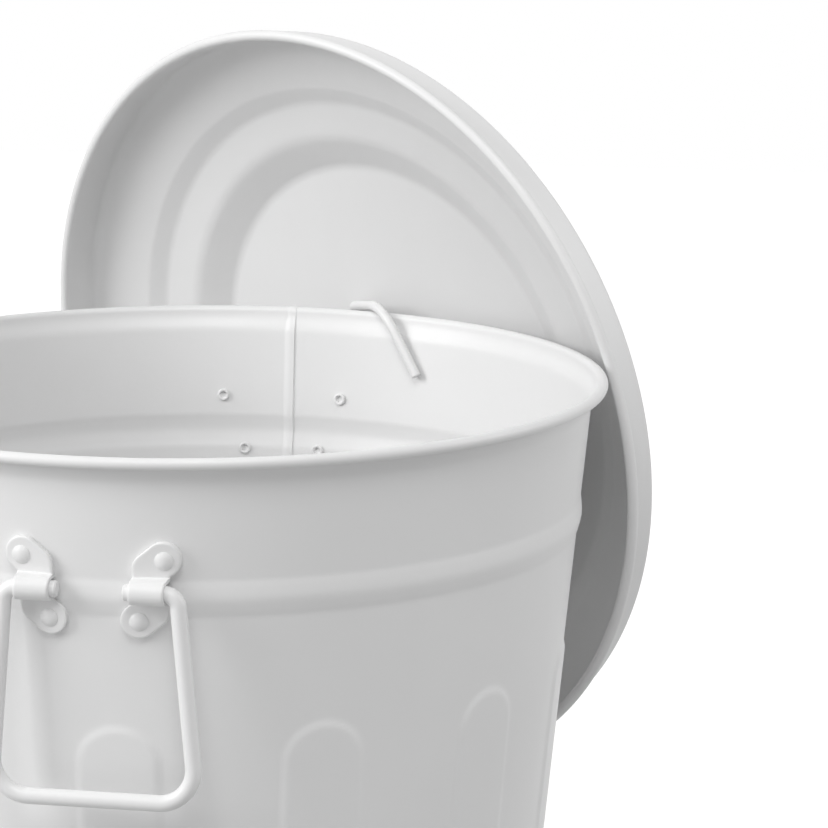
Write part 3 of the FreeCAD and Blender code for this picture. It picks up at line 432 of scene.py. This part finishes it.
def rivet(grip, columns=36):
    """Tubular rivet turned about its axis: a domed head on z = 0, a shank through the grip, and
    an end rolled outwards to a ring with an open bore."""
    head, dome, ball, shank = 3.4, 1.4, 5.25, 1.6
    tip, ring, roll = 1.15, 1.95, 0.62
    section = np.concatenate([
        arc((0, dome - ball), ball, 90, 55.875, 8),
        [[head - 0.02, 0.22], [head, 0.0], [shank, 0.0], [shank, -grip], [2.5, -grip]],
        arc((ring, roll - tip - grip), roll, 10, -170, 12),
        [[1.2, 0.1 - grip], [0.9, 0.25 - grip], [0.0, 0.3 - grip]],
    ])
    return turned(section, columns)


def carried(grid, start, direction):
    """Grid whose z axis is laid along a nearly level direction from a start point."""
    aside = [0.31, 0.17, 0.93]
    z = unit(direction)
    x = unit(np.cross(aside, z))
    return grid @ np.stack([x, np.cross(z, x), z]) + start


# ---------- meshes and pieces
def grid_faces(shape, rows, columns):
    """Quads of a grid, joined end to end along the rows or the columns where asked."""
    index = np.arange(shape[0] * shape[1]).reshape(shape[:2])
    if rows:
        index = np.concatenate([index, index[:1]])
    if columns:
        index = np.concatenate([index, index[:, :1]], axis=1)
    quads = [index[:-1, :-1], index[:-1, 1:], index[1:, 1:], index[1:, :-1]]
    return np.stack(quads, axis=2).reshape(-1, 4)


def outward(points, faces):
    """Faces turned so that the closed surface encloses a positive volume: the sum over the
    triangles of a . (b x c) / 6."""
    p = points - points.mean(axis=0)
    volume = 0.0
    for i, j, k in ((0, 1, 2), (0, 2, 3)):
        a, b, c = p[faces[:, i]], p[faces[:, j]], p[faces[:, k]]
        volume += np.einsum("ij,ij->", a, np.cross(b, c))
    return faces if volume > 0 else faces[:, ::-1]


def piece(name, grids, body, material, nodes=(), sharp=32.0):
    """Object from closed grids of points in mm. grids holds (grid, rows joined, columns joined)."""
    points = []
    faces = []
    first = 0
    for grid, rows, columns in grids:
        flat = grid.reshape(-1, 3)
        quads = grid_faces(grid.shape, rows, columns)
        faces.append(outward(flat, quads) + first)
        points.append(flat)
        first += len(flat)
    mesh = bpy.data.meshes.new(name)
    mesh.from_pydata((np.concatenate(points) * MM).tolist(), [], np.concatenate(faces).tolist())
    shape = bmesh.new()
    shape.from_mesh(mesh)
    bmesh.ops.remove_doubles(shape, verts=shape.verts, dist=2e-6)
    shape.to_mesh(mesh)
    shape.free()
    mesh.validate()
    mesh.shade_smooth()
    mesh.set_sharp_from_angle(angle=math.radians(sharp))
    thing = bpy.data.objects.new(name, mesh)
    bpy.context.scene.collection.objects.link(thing)
    mesh.materials.append(material)
    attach(thing, body)
    if nodes:
        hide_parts(*nodes)


# ---------- finishes
def node_group(name, inputs, outputs):
    """New node group with its input and output nodes. inputs holds (name, kind, start value),
    outputs (name, kind)."""
    group = bpy.data.node_groups.new(name, "ShaderNodeTree")
    for label, kind, value in inputs:
        made = group.interface.new_socket(name=label, in_out="INPUT",
                                          socket_type="NodeSocket" + kind)
        if value is not None:
            made.default_value = value
    for label, kind in outputs:
        group.interface.new_socket(name=label, in_out="OUTPUT", socket_type="NodeSocket" + kind)
    return group, group.nodes.new("NodeGroupInput"), group.nodes.new("NodeGroupOutput")


def maths(tree, operation, *values):
    """Output of a math node; each value is a socket to link or a number to set."""
    node = tree.nodes.new("ShaderNodeMath")
    node.operation = operation
    for entry, value in zip(node.inputs, values):
        if isinstance(value, bpy.types.NodeSocket):
            tree.links.new(value, entry)
        else:
            entry.default_value = value
    return node.outputs[0]


def noise(tree, vector, scale, detail):
    """Output of a noise texture."""
    node = tree.nodes.new("ShaderNodeTexNoise")
    node.inputs["Detail"].default_value = detail
    tree.links.new(vector, node.inputs["Vector"])
    tree.links.new(scale, node.inputs["Scale"])
    return node.outputs["Fac"]


def tone_group():
    """Slow, faint change of a coat's colour and roughness: two sizes of noise, added, move the
    colour towards a shade and lift the roughness."""
    name = "coat tone"
    if name in bpy.data.node_groups:
        return bpy.data.node_groups[name]
    group, given, result = node_group(name, (
        ("Vector", "Vector", None),
        ("Coat", "Color", (0.76, 0.76, 0.76, 1)),
        ("Shade", "Color", (0.7, 0.7, 0.7, 1)),
        ("Cloud Scale", "Float", 14.0),
        ("Fleck Scale", "Float", 900.0),
        ("Fleck", "Float", 0.25),
        ("Amount", "Float", 0.3),
        ("Rough", "Float", 0.4),
        ("Rough Change", "Float", 0.06),
    ), (("Color", "Color"), ("Roughness", "Float")))
    nodes, links = group.nodes, group.links
    cloud = noise(group, given.outputs["Vector"], given.outputs["Cloud Scale"], detail=3.0)
    fleck = noise(group, given.outputs["Vector"], given.outputs["Fleck Scale"], detail=1.0)
    spread = nodes.new("ShaderNodeMapRange")
    spread.inputs["From Min"].default_value = 0.40
    spread.inputs["From Max"].default_value = 0.85
    both = maths(group, "MULTIPLY_ADD", fleck, given.outputs["Fleck"], cloud)
    links.new(both, spread.inputs["Value"])
    level = spread.outputs["Result"]
    mix = nodes.new("ShaderNodeMix")
    mix.data_type = "RGBA"
    links.new(maths(group, "MULTIPLY", level, given.outputs["Amount"]), mix.inputs["Factor"])
    links.new(given.outputs["Coat"], mix.inputs[6])
    links.new(given.outputs["Shade"], mix.inputs[7])
    links.new(mix.outputs[2], result.inputs["Color"])
    change = given.outputs["Rough Change"]
    rough = maths(group, "MULTIPLY_ADD", level, change, given.outputs["Rough"])
    links.new(rough, result.inputs["Roughness"])
    return group


def peel_group():
    """Height of a sprayed coat: soft cells of orange peel with a finer grain over them."""
    name = "coat peel"
    if name in bpy.data.node_groups:
        return bpy.data.node_groups[name]
    group, given, result = node_group(name, (
        ("Vector", "Vector", None),
        ("Peel Scale", "Float", 420.0),
        ("Grain Scale", "Float", 2400.0),
        ("Grain", "Float", 0.2),
    ), (("Height", "Float"),))
    peel = group.nodes.new("ShaderNodeTexVoronoi")
    peel.feature = "SMOOTH_F1"
    peel.inputs["Smoothness"].default_value = 1.0
    group.links.new(given.outputs["Vector"], peel.inputs["Vector"])
    group.links.new(given.outputs["Peel Scale"], peel.inputs["Scale"])
    grain = noise(group, given.outputs["Vector"], given.outputs["Grain Scale"], detail=2.0)
    height = maths(group, "MULTIPLY_ADD", grain, given.outputs["Grain"], peel.outputs["Distance"])
    group.links.new(height, result.inputs["Height"])
    return group


def coat(name, rough, amount, change, peel, lift):
    """Satin sprayed coat over steel: a plain dielectric with the tone and peel groups. amount is
    the share of the shade, change the most that the roughness grows, peel the scale of the orange
    peel and lift the bump's strength."""
    if name in bpy.data.materials:
        return bpy.data.materials[name]
    look = looks()
    material = bpy.data.materials.new(name)
    material.use_nodes = True
    nodes, links = material.node_tree.nodes, material.node_tree.links
    shader = nodes["Principled BSDF"]
    place = nodes.new("ShaderNodeTexCoord")
    tone = nodes.new("ShaderNodeGroup")
    tone.node_tree = tone_group()
    links.new(place.outputs["Object"], tone.inputs["Vector"])
    tone.inputs["Coat"].default_value = (*look.coat, 1)
    tone.inputs["Shade"].default_value = (*look.dust, 1)
    tone.inputs["Amount"].default_value = amount
    tone.inputs["Rough"].default_value = rough
    tone.inputs["Rough Change"].default_value = change
    links.new(tone.outputs["Color"], shader.inputs["Base Color"])
    links.new(tone.outputs["Roughness"], shader.inputs["Roughness"])
    skin = nodes.new("ShaderNodeGroup")
    skin.node_tree = peel_group()
    links.new(place.outputs["Object"], skin.inputs["Vector"])
    skin.inputs["Peel Scale"].default_value = peel
    bump = nodes.new("ShaderNodeBump")
    bump.inputs["Strength"].default_value = lift
    bump.inputs["Distance"].default_value = 0.0001
    links.new(skin.outputs["Height"], bump.inputs["Height"])
    links.new(bump.outputs["Normal"], shader.inputs["Normal"])
    return material


def sheet_coat():
    """Finish of the can, the lid and the straps."""
    rough = looks().rough
    return coat("white coat on sheet", rough, amount=0.35, change=0.06, peel=420.0, lift=0.10)


def wire_coat():
    """Finish of the handles and the hook, a little glossier where hands rub it."""
    rough = looks().rough - 0.06
    return coat("white coat on wire", rough, amount=0.25, change=0.08, peel=620.0, lift=0.08)


def rivet_coat():
    """Finish of the rivets, where the coat gathers thicker."""
    rough = looks().rough - 0.02
    return coat("white coat on rivets", rough, amount=0.30, change=0.05, peel=700.0, lift=0.10)


# ---------- can
def bead(z):
    """Bead's rise over the wall: a ridge 1 - |s| with s the distance from its centre in half
    widths, softened at the crest and at both feet, and faded out past them."""
    c = can_sizes()
    crest, foot, top, end, run = 0.3, math.sqrt(0.02), 1.005, 1.35, 0.5
    s = (z - c.bead) / (c.bead_width / 2)
    ridge = 1.0 - (np.sqrt(s * s + crest ** 2) - crest)
    fade = ease((end - np.abs(s)) / run)
    return c.bead_rise * np.clip(higher(ridge, 0.0, foot) / top, 0, 1) * fade


def flute(s, z):
    """Flute's rise at a sideways distance s from its middle line: ease of the depth inside its
    outline over the width of its sloping edge, which starts a little over the outline. The
    outline is two straight sides closed by an arc above and below."""
    c = can_sizes()
    over = 0.3
    bow = (c.flute_half ** 2 + c.flute_arch ** 2) / (2 * c.flute_arch)
    depth = c.flute_half - np.abs(s)
    high = c.flute_top - bow
    low = c.flute_low + bow
    depth = np.where(z > high, np.minimum(depth, bow - np.hypot(s, z - high)), depth)
    depth = np.where(z < low, np.minimum(depth, bow - np.hypot(s, z - low)), depth)
    return c.flute_rise * ease((depth + over) / (c.flute_edge + over))


def wall_path():
    """Middle line of the wall's sheet: down the hem's inner leg, round the foot, up the tapered
    wall over bead and flare, and over the curl. Rows are closer over the arches, bead and flare."""
    c = can_sizes()
    g = c.gauge
    hem = 3 * g + 2 * PAN_PLAY
    leg, start, wall_start = c.pan_rise - 2, 3.0, 8.0
    foot = rounded([
        (float(wall_radius(leg)) - hem + g / 2, leg),
        (c.base - hem + g / 2, g / 2),
        (c.base - g / 2, g / 2),
        (float(wall_radius(start)) - g / 2, start),
    ], [0.45, 0.45], step=2.5, fine=0.12)
    top = c.height - c.curl
    crown, arch, ring = 1, 18, 8
    stops = [wall_start, c.flute_low - crown, c.flute_low + arch, c.flute_top - arch,
             c.flute_top + crown, c.bead - ring, c.bead + ring, top - c.flare, top]
    counts = [3, 15, 7, 15, 3, 16, 3, 8]
    z = np.concatenate([np.linspace(a, b, count, endpoint=False)
                        for a, b, count in zip(stops, stops[1:], counts)])
    spread = (c.step + g) * ease((z - (top - c.flare)) / c.flare)
    wall = np.stack([wall_radius(z) - g / 2 + bead(z) + spread, z], axis=1)
    curl = arc((c.rim - c.curl, top), c.curl - g / 2, 180, -125, 20)
    return np.concatenate([foot, wall, curl])


def wall_grid():
    """The wall's closed section turned about Z on columns that follow the flutes: a column keeps
    its sideways distance in mm within a flute, and shares the gap between two flutes evenly. The
    flutes' rise is added to the radius on both skins."""
    c = can_sizes()
    margin, far = 0.9, 99.0
    section = sheet_section(wall_path(), c.gauge)
    r, z = section[:, 0][:, None], section[:, 1][:, None]
    reach = c.flute_half + margin
    across = np.linspace(-reach, reach, 28)
    gap = np.linspace(0, 1, 13)[1:-1]
    pitch = TAU / c.flutes
    turn = math.radians(c.flute_turn - 90)
    edge = np.arcsin(reach / r)
    inside = np.arcsin(across / r)
    between = edge + (pitch - 2 * edge) * gap
    one = np.concatenate([inside, between], axis=1)
    side = np.concatenate([np.broadcast_to(across, inside.shape), np.full(between.shape, far)],
                          axis=1)
    angles = one[:, None, :] + turn + pitch * np.arange(c.flutes)[None, :, None]
    angles = angles.reshape(len(r), -1)
    radius = r + np.tile(flute(side, z), (1, c.flutes))
    return np.stack([radius * np.cos(angles), radius * np.sin(angles),
                     np.broadcast_to(z, angles.shape)], axis=2)


def seam_grid():
    """Lap of the sheet inside the wall: a strip whose height over the wall's middle line swells
    over most of its width w and ends in a square edge, carried up the wall and over the curl,
    where it is flatter."""
    c = can_sizes()
    start, root, swell, share_swelling, edge = 2.0, 0.30, 0.60, 0.7, 0.82
    thinner, below, run = 0.432, 8.0, 5.0
    path = wall_path()
    path = path[path[:, 1] > c.pan_rise + start]
    way = unit(np.gradient(path, axis=0))
    side = np.stack([-way[:, 1], way[:, 0]], axis=1)
    w = np.array([0.0, 0.06, 0.14, 0.24, 0.36, 0.5, 0.66, 0.82, 0.94, 0.99, 1.0, 1.0])
    high = root + swell * ease(w / share_swelling)
    high[-2:] = edge, 0.0
    flatter = 1 - thinner * ease((path[:, 1] - (c.height - below)) / run)
    up = path[:, None] + side[:, None] * (high[None, :, None] * flatter[:, None, None])
    r = up[:, :, 0]
    turn = math.radians(90 - c.seam_turn) + (0.5 - w)[None, :] * c.seam_width / r
    outer = np.stack([r * np.cos(turn), r * np.sin(turn), up[:, :, 1]], axis=2)
    r = np.broadcast_to(path[:, 0][:, None], turn.shape)
    inner = np.stack([r * np.cos(turn), r * np.sin(turn),
                      np.broadcast_to(path[:, 1][:, None], turn.shape)], axis=2)
    loop = np.concatenate([outer, inner[:, ::-1][:, 1:]], axis=1)
    ends = [loop.mean(axis=1, keepdims=True)[i] + 0 * loop[i] for i in (0, -1)]
    return np.concatenate([ends[0][None], loop, ends[1][None]])


class BIN_OT_can_wall(bpy.types.Operator):
    """Tapered wall with its hem, flutes, bead, curl and lap seam"""
    bl_idname = "bin.can_wall"
    bl_label = "Can wall"

    def execute(self, context):
        piece("can_wall_sheet", [(wall_grid(), True, True)], "can", sheet_coat(),
              ["can_wall"])
        piece("can_wall_seam", [(seam_grid(), False, True)], "can", sheet_coat())
        return {"FINISHED"}


class BIN_OT_floor_pan(bpy.types.Operator):
    """Floor pan with its flange and stiffening ring"""
    bl_idname = "bin.floor_pan"
    bl_label = "Floor pan"

    def execute(self, context):
        c = can_sizes()
        g = c.gauge
        ring, width, slope, rise = 84.0, 16.0, 4.0, 1.6
        gap = g + PAN_PLAY + g / 2
        z = c.pan_rise + g / 2
        end = g + 0.3
        path = rounded([
            (0.0, z), (ring, z), (ring + slope, z + rise), (ring + width - slope, z + rise),
            (ring + width, z), (float(wall_radius(z)) - gap, z),
            (float(wall_radius(end)) - gap, end),
        ], [3.0, 2.5, 2.5, 3.0, 0.5], step=12.0, fine=0.5)
        grid = turned(sheet_section(path, g), columns=180)
        piece("bottom_pan_sheet", [(grid, False, True)], "can", sheet_coat(),
              ["bottom_pan"])
        return {"FINISHED"}


# ---------- can handles
def facing(end):
    """Axes (across, outward, up) and origin of a handle's frame on the back or front wall."""
    high, out = bail_axis()
    sign = 1.0 if end == "back" else -1.0
    return np.array([[sign, 0, 0], [0, sign, 0], [0, 0, 1.0]]), np.array([0, sign * out, high])


def ear_plane(side):
    """Tangent plane of the wall behind an ear: middle point, normal, across and up."""
    e = ear_sizes()
    high, out = bail_axis()
    turn = side * math.asin(e.place / float(wall_radius(high)))
    tilt = math.atan(taper())
    way = np.array([math.sin(turn), math.cos(turn), 0.0])
    normal = np.array([way[0] * math.cos(tilt), way[1] * math.cos(tilt), -math.sin(tilt)])
    across = np.array([-math.cos(turn), math.sin(turn), 0.0])
    middle = way * float(wall_radius(high)) - np.array([0, out, 0]) + normal * e.seat
    return middle, normal, across, np.cross(normal, across)


def ear_grid(end, side):
    """Slanted strap over the handle's wire, its underside on the wall."""
    c = can_sizes()
    e = ear_sizes()
    high, out = bail_axis()
    middle, normal = ear_plane(side)[:2]
    thick = c.ear_gauge + c.bead_rise

    def plate(x, z):
        """Outward distance of the plane that lies a plate's thickness off the wall."""
        return (middle @ normal + thick - x * normal[0] - z * normal[2]) / normal[1]

    def seat(x, z):
        """Outward distance of the wall with its bead."""
        r = wall_radius(high + z) + bead(high + z) + e.seat
        return np.sqrt(r * r - x * x) - out

    bore = wire_sizes().bail / 2 + e.clear
    grid = strap(side * e.place, side * e.lean, e.pitch, e.half, bore, c.ear_gauge, plate, seat,
                 level=0.0)
    axes, origin = facing(end)
    return grid[:, :, [0, 2, 1]] @ axes.T + origin


class BIN_OT_can_ears(bpy.types.Operator):
    """Four slanted straps that hold the can's handles, and their rivets"""
    bl_idname = "bin.can_ears"
    bl_label = "Can ears"

    def execute(self, context):
        c = can_sizes()
        e = ear_sizes()
        thick = c.ear_gauge + c.bead_rise
        slack = 0.2  # mm, for the wall's curve under the shank
        grip = thick + e.seat + c.gauge + slack
        for end in ("front", "back"):
            axes, origin = facing(end)
            rivets = []
            for label, side in (("left", -1), ("right", 1)):
                name = "%s_ear_%s" % (end, label)
                piece(name + "_strap", [(ear_grid(end, side), False, True)], "can",
                      sheet_coat(), [name], sharp=40.0)
                middle, normal, across, up = ear_plane(side)
                for level in (-1, 1):
                    spot = middle + across * (-side * level * e.lean) + up * (level * e.pitch)
                    seat = (spot + normal * thick) @ axes.T + origin
                    rivets.append((carried(rivet(grip), seat, normal @ axes.T), False, True))
            piece(end + "_ear_rivet_set", rivets, "can", rivet_coat(),
                  [end + "_ear_rivets"])
        return {"FINISHED"}


class BIN_OT_can_handles(bpy.types.Operator):
    """Drop handles bent from round wire"""
    bl_idname = "bin.can_handles"
    bl_label = "Can handles"

    def execute(self, context):
        w = wire_sizes()
        deep = -w.bail_length
        line = rounded([
            (-w.bail_end, 0, 0), (-w.bail_neck, 0, 0), (-w.bail_half, 0, deep),
            (w.bail_half, 0, deep), (w.bail_neck, 0, 0), (w.bail_end, 0, 0),
        ], [w.elbow, w.bail_corner, w.bail_corner, w.elbow], step=4.0, fine=0.7)
        for end in ("front", "back"):
            axes, origin = facing(end)
            path = line @ axes.T + origin
            piece(end + "_handle_wire", [(tube(path, w.bail / 2, (0, 1, 0)), False, True)],
                  end + "_drop_handle", wire_coat(), [end + "_handle"])
        return {"FINISHED"}


# ---------- lid
def lid_path():
    """Middle line of the lid's sheet: panel, steps, shoulder, skirt and curl."""
    c = can_sizes()
    d = lid_sizes()
    g = c.gauge
    radii, heights = lid_heights()
    corner, wide, curled = 1.15, 1.6, 305
    middle = [(r, h - g / 2) for r, h in zip([0.0, *radii[::-1]], [heights[-1], *heights[::-1]])]
    skirt = c.rim + d.clear + g / 2
    middle[-1] = (skirt - d.draft, heights[0] - g / 2 - corner)
    turn = d.crease
    line = rounded(middle + [(skirt, 0.0)], [turn, turn * wide, turn, turn, d.shoulder - g / 2],
                   step=6.0, fine=0.5)
    curl = arc((c.rim + d.clear + c.curl, 0.0), c.curl - g / 2, 180, 180 + curled, 22)
    return np.concatenate([line[:-1], curl])


class BIN_OT_lid_shell(bpy.types.Operator):
    """Pressed lid with its steps, skirt and curled edge"""
    bl_idname = "bin.lid_shell"
    bl_label = "Lid shell"

    def execute(self, context):
        grid = to_lid(turned(sheet_section(lid_path(), can_sizes().gauge), columns=384))
        piece("lid_shell_sheet", [(grid, False, True)], "lid", sheet_coat(),
              ["lid_shell"])
        return {"FINISHED"}


class BIN_OT_lid_ears(bpy.types.Operator):
    """Straps and rivets of the lid's handle"""
    bl_idname = "bin.lid_ears"
    bl_label = "Lid ears"

    def execute(self, context):
        c = can_sizes()
        e = ear_sizes()
        panel = float(lid_heights()[1][-1])
        wire = wire_sizes().grip / 2
        under = panel + e.seat
        over = under + c.ear_gauge
        rivets = []
        for label, side in (("left", -1), ("right", 1)):
            grid = strap(side * e.lid_place, 0.0, e.lid_pitch, e.lid_half, wire + e.clear,
                         c.ear_gauge, level_at(over), level_at(under), panel + wire + e.gap)
            piece("lid_ear_%s_strap" % label, [(to_lid(grid), False, True)], "lid",
                  sheet_coat(), ["lid_ear_" + label], sharp=40.0)
            for level in (-1, 1):
                made = rivet(c.ear_gauge + c.gauge + 2 * e.seat)
                made = made + np.array([side * e.lid_place, level * e.lid_pitch, over])
                rivets.append((to_lid(made), False, True))
        piece("lid_ear_rivet_set", rivets, "lid", rivet_coat(), ["lid_ear_rivets"])
        return {"FINISHED"}


class BIN_OT_lid_handle(bpy.types.Operator):
    """Wire handle that lies on the lid's panel"""
    bl_idname = "bin.lid_handle"
    bl_label = "Lid handle"

    def execute(self, context):
        w = wire_sizes()
        high = float(lid_heights()[1][-1]) + w.grip / 2 + ear_sizes().gap
        reach = -w.grip_length
        line = rounded([
            (-w.grip_end, 0, high), (-w.grip_half, 0, high), (-w.grip_half, reach, high),
            (w.grip_half, reach, high), (w.grip_half, 0, high), (w.grip_end, 0, high),
        ], [w.elbow, w.grip_corner, w.grip_corner, w.elbow], step=4.0, fine=0.7)
        grid = to_lid(tube(line, w.grip / 2, (0, 0, 1)))
        piece("lid_handle_wire", [(grid, False, True)], "lid_grip", wire_coat(),
              ["lid_handle"])
        return {"FINISHED"}


class BIN_OT_lid_hook(bpy.types.Operator):
    """Wire hook over the rim, with its clip and rivets on the lid's inner panel"""
    bl_idname = "bin.lid_hook"
    bl_label = "Lid hook"

    def execute(self, context):
        c = can_sizes()
        hook = hook_sizes()
        wire = wire_sizes().hook
        panel = float(lid_heights()[1][-1]) - c.gauge
        gap = ear_sizes().seat
        high = panel - wire / 2 - gap
        over = np.array([-hook.span, hook.top - hook.fall, high - hook.reach])
        line = rounded([(0, -hook.tail, high), (0, hook.top, high), over,
                        over - [hook.splay, hook.leg, hook.out]], [hook.bend, hook.bend_two],
                       step=3.0, fine=0.5)
        piece("lid_hook_wire", [(to_lid(tube(line, wire / 2, (0, 0, 1))), False, True)], "lid",
              wire_coat(), ["lid_hook"])
        thick = hook.clip_gauge
        grid = strap(0.0, 0.0, hook.clip_pitch, hook.clip_half, wire / 2 + gap, thick,
                     level_at(thick + gap), level_at(gap), panel - high)
        across, along, height = np.moveaxis(grid, 2, 0)
        laid = np.stack([along, across + hook.clip_place, panel - height], axis=2)
        piece("hook_clip_strap", [(to_lid(laid), False, True)], "lid", sheet_coat(),
              ["hook_clip"], sharp=40.0)
        rivets = []
        for side in (-1, 1):
            place = np.array([side * hook.clip_pitch, hook.clip_place, panel + c.gauge])
            rivets.append((to_lid(rivet(c.gauge + thick + 2 * gap) + place), False, True))
        piece("hook_clip_rivet_set", rivets, "lid", rivet_coat(),
              ["hook_clip_rivets"])
        return {"FINISHED"}


class BIN_OT_rim_wires(bpy.types.Operator):
    """Finish of the wires that the curls are rolled around"""
    bl_idname = "bin.rim_wires"
    bl_label = "Rim wires"

    def execute(self, context):
        for name in ("can_rim_wire", "lid_rim_wire"):
            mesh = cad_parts[name].data
            mesh.materials.clear()
            mesh.materials.append(wire_coat())
        return {"FINISHED"}


# ---------- studio
# Places in metres. The camera was fitted to the photograph's rim, bead, lid and flutes.
FLOOR_HALF = 2.5
LAMP_TARGET = (0.02, 0.05, 0.2)
KEY_PLACE = (-1.77, -1.0, 1.17)
TOP_PLACE = (0.2, -1.3, 1.8)
SIDE_PLACE = (1.7, 0.35, 1.1)
CAMERA_LENS = 161.886
CAMERA_MATRIX = (
    (0.982051, -0.040288, 0.184262, 0.350457),
    (0.188587, 0.192967, -0.962911, -1.381043),
    (0.003238, 0.980378, 0.197101, 0.520217),
    (0.0, 0.0, 0.0, 1.0),
)


def seen_directly(tree):
    """Output that is 1 for camera, gloss and transmission rays and 0 for all others."""
    rays = tree.nodes.new("ShaderNodeLightPath").outputs
    one = maths(tree, "MAXIMUM", rays["Is Camera Ray"], rays["Is Glossy Ray"])
    return maths(tree, "MAXIMUM", one, rays["Is Transmission Ray"])


def plain_floor():
    """Pale matt floor. Camera, gloss and transmission rays see it brighter, towards white."""
    look = looks()
    material = bpy.data.materials.new("studio floor")
    material.use_nodes = True
    nodes, links = material.node_tree.nodes, material.node_tree.links
    shader = nodes["Principled BSDF"]
    shader.inputs["Base Color"].default_value = (look.ground, look.ground, look.ground, 1)
    shader.inputs["Roughness"].default_value = 0.9
    tree = material.node_tree
    glow = nodes.new("ShaderNodeEmission")
    links.new(maths(tree, "MULTIPLY", seen_directly(tree), look.glow), glow.inputs["Strength"])
    add = nodes.new("ShaderNodeAddShader")
    links.new(shader.outputs[0], add.inputs[0])
    links.new(glow.outputs[0], add.inputs[1])
    links.new(add.outputs[0], nodes["Material Output"].inputs["Surface"])
    return material


def even_sky(scene):
    """World that is white to camera, gloss and transmission rays, and an even light otherwise."""
    world = bpy.data.worlds.new("studio sky")
    scene.world = world
    world.use_nodes = True
    nodes, links = world.node_tree.nodes, world.node_tree.links
    back = nodes["Background"]
    back.inputs["Color"].default_value = (1, 1, 1, 1)
    level = nodes.new("ShaderNodeMapRange")
    level.inputs["To Min"].default_value = looks().sky
    level.inputs["To Max"].default_value = 1.0
    links.new(seen_directly(world.node_tree), level.inputs["Value"])
    links.new(level.outputs["Result"], back.inputs["Strength"])


def lamp(name, place, target, size, watts):
    """Square area lamp that faces a target, lengths in metres and power in watts."""
    data = bpy.data.lights.new(name, "AREA")
    data.size = size
    data.energy = watts
    thing = bpy.data.objects.new(name, data)
    bpy.context.scene.collection.objects.link(thing)
    away = unit(np.asarray(place, float) - np.asarray(target, float))
    upright = [0.0, 0.02, 1.0]
    side = unit(np.cross(upright, away))
    turn = Matrix(np.stack([side, np.cross(away, side), away], axis=1).tolist()).to_4x4()
    thing.matrix_world = Matrix.Translation(place) @ turn


class BIN_OT_studio(bpy.types.Operator):
    """Floor, sky, lamps and the camera"""
    bl_idname = "bin.studio"
    bl_label = "Studio"

    def execute(self, context):
        scene = context.scene
        look = looks()
        mesh = bpy.data.meshes.new("studio_floor")
        half = FLOOR_HALF
        mesh.from_pydata([(-half, -half, 0), (half, -half, 0), (half, half, 0), (-half, half, 0)],
                         [], [(0, 1, 2, 3)])
        floor = bpy.data.objects.new("studio_floor", mesh)
        scene.collection.objects.link(floor)
        mesh.materials.append(plain_floor())
        floor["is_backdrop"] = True
        even_sky(scene)
        for name, place, size, watts in (("key_lamp", KEY_PLACE, 1.2, look.key),
                                         ("top_lamp", TOP_PLACE, 1.0, look.top),
                                         ("side_lamp", SIDE_PLACE, 1.0, look.side)):
            lamp(name, place, LAMP_TARGET, size, watts)
        data = bpy.data.cameras.new("photo_camera")
        data.sensor_fit = "HORIZONTAL"
        data.sensor_width = 36.0
        data.lens = CAMERA_LENS
        data.clip_start = 0.05
        data.clip_end = 40.0
        camera = bpy.data.objects.new("photo_camera", data)
        scene.collection.objects.link(camera)
        camera.matrix_world = Matrix(CAMERA_MATRIX)
        scene.camera = camera
        scene.view_settings.view_transform = "Standard"
        return {"FINISHED"}


class BIN_PT_panel(bpy.types.Panel):
    """Sizes, looks and the pieces of the trash can"""
    bl_idname = "BIN_PT_panel"
    bl_label = "Trash can"
    bl_space_type = "VIEW_3D"
    bl_region_type = "UI"
    bl_category = "Trash can"

    def draw(self, context):
        layout = self.layout
        for title, group in GROUPS:
            column = layout.column(align=True)
            for name in group.__annotations__:
                column.prop(getattr(context.scene, title), name)
        for operator in OPERATORS:
            layout.operator(operator.bl_idname)


GROUPS = (
    ("bin_can", CanSizes),
    ("bin_wire", WireSizes),
    ("bin_ear", EarSizes),
    ("bin_lid", LidSizes),
    ("bin_hook", HookSizes),
    ("bin_looks", Looks),
)
OPERATORS = (
    BIN_OT_can_wall,
    BIN_OT_floor_pan,
    BIN_OT_can_ears,
    BIN_OT_can_handles,
    BIN_OT_lid_shell,
    BIN_OT_lid_ears,
    BIN_OT_lid_handle,
    BIN_OT_lid_hook,
    BIN_OT_rim_wires,
    BIN_OT_studio,
)


def register():
    for name, group in GROUPS:
        bpy.utils.register_class(group)
        setattr(bpy.types.Scene, name, PointerProperty(type=group))
    for item in OPERATORS + (BIN_PT_panel,):
        bpy.utils.register_class(item)


def unregister():
    for item in reversed(OPERATORS + (BIN_PT_panel,)):
        bpy.utils.unregister_class(item)
    for name, group in reversed(GROUPS):
        delattr(bpy.types.Scene, name)
        bpy.utils.unregister_class(group)


def main():
    """Register the classes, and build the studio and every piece."""
    register()
    bpy.ops.bin.studio()
    bpy.ops.bin.can_wall()
    bpy.ops.bin.floor_pan()
    bpy.ops.bin.can_ears()
    bpy.ops.bin.can_handles()
    bpy.ops.bin.lid_shell()
    bpy.ops.bin.lid_ears()
    bpy.ops.bin.lid_handle()
    bpy.ops.bin.lid_hook()
    bpy.ops.bin.rim_wires()
    boxes = {"cad": CAD_BOX, "visual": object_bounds()}
    boxes = {name: [list(corner) for corner in box] for name, box in boxes.items()}


if __name__ == "__main__":
    main()
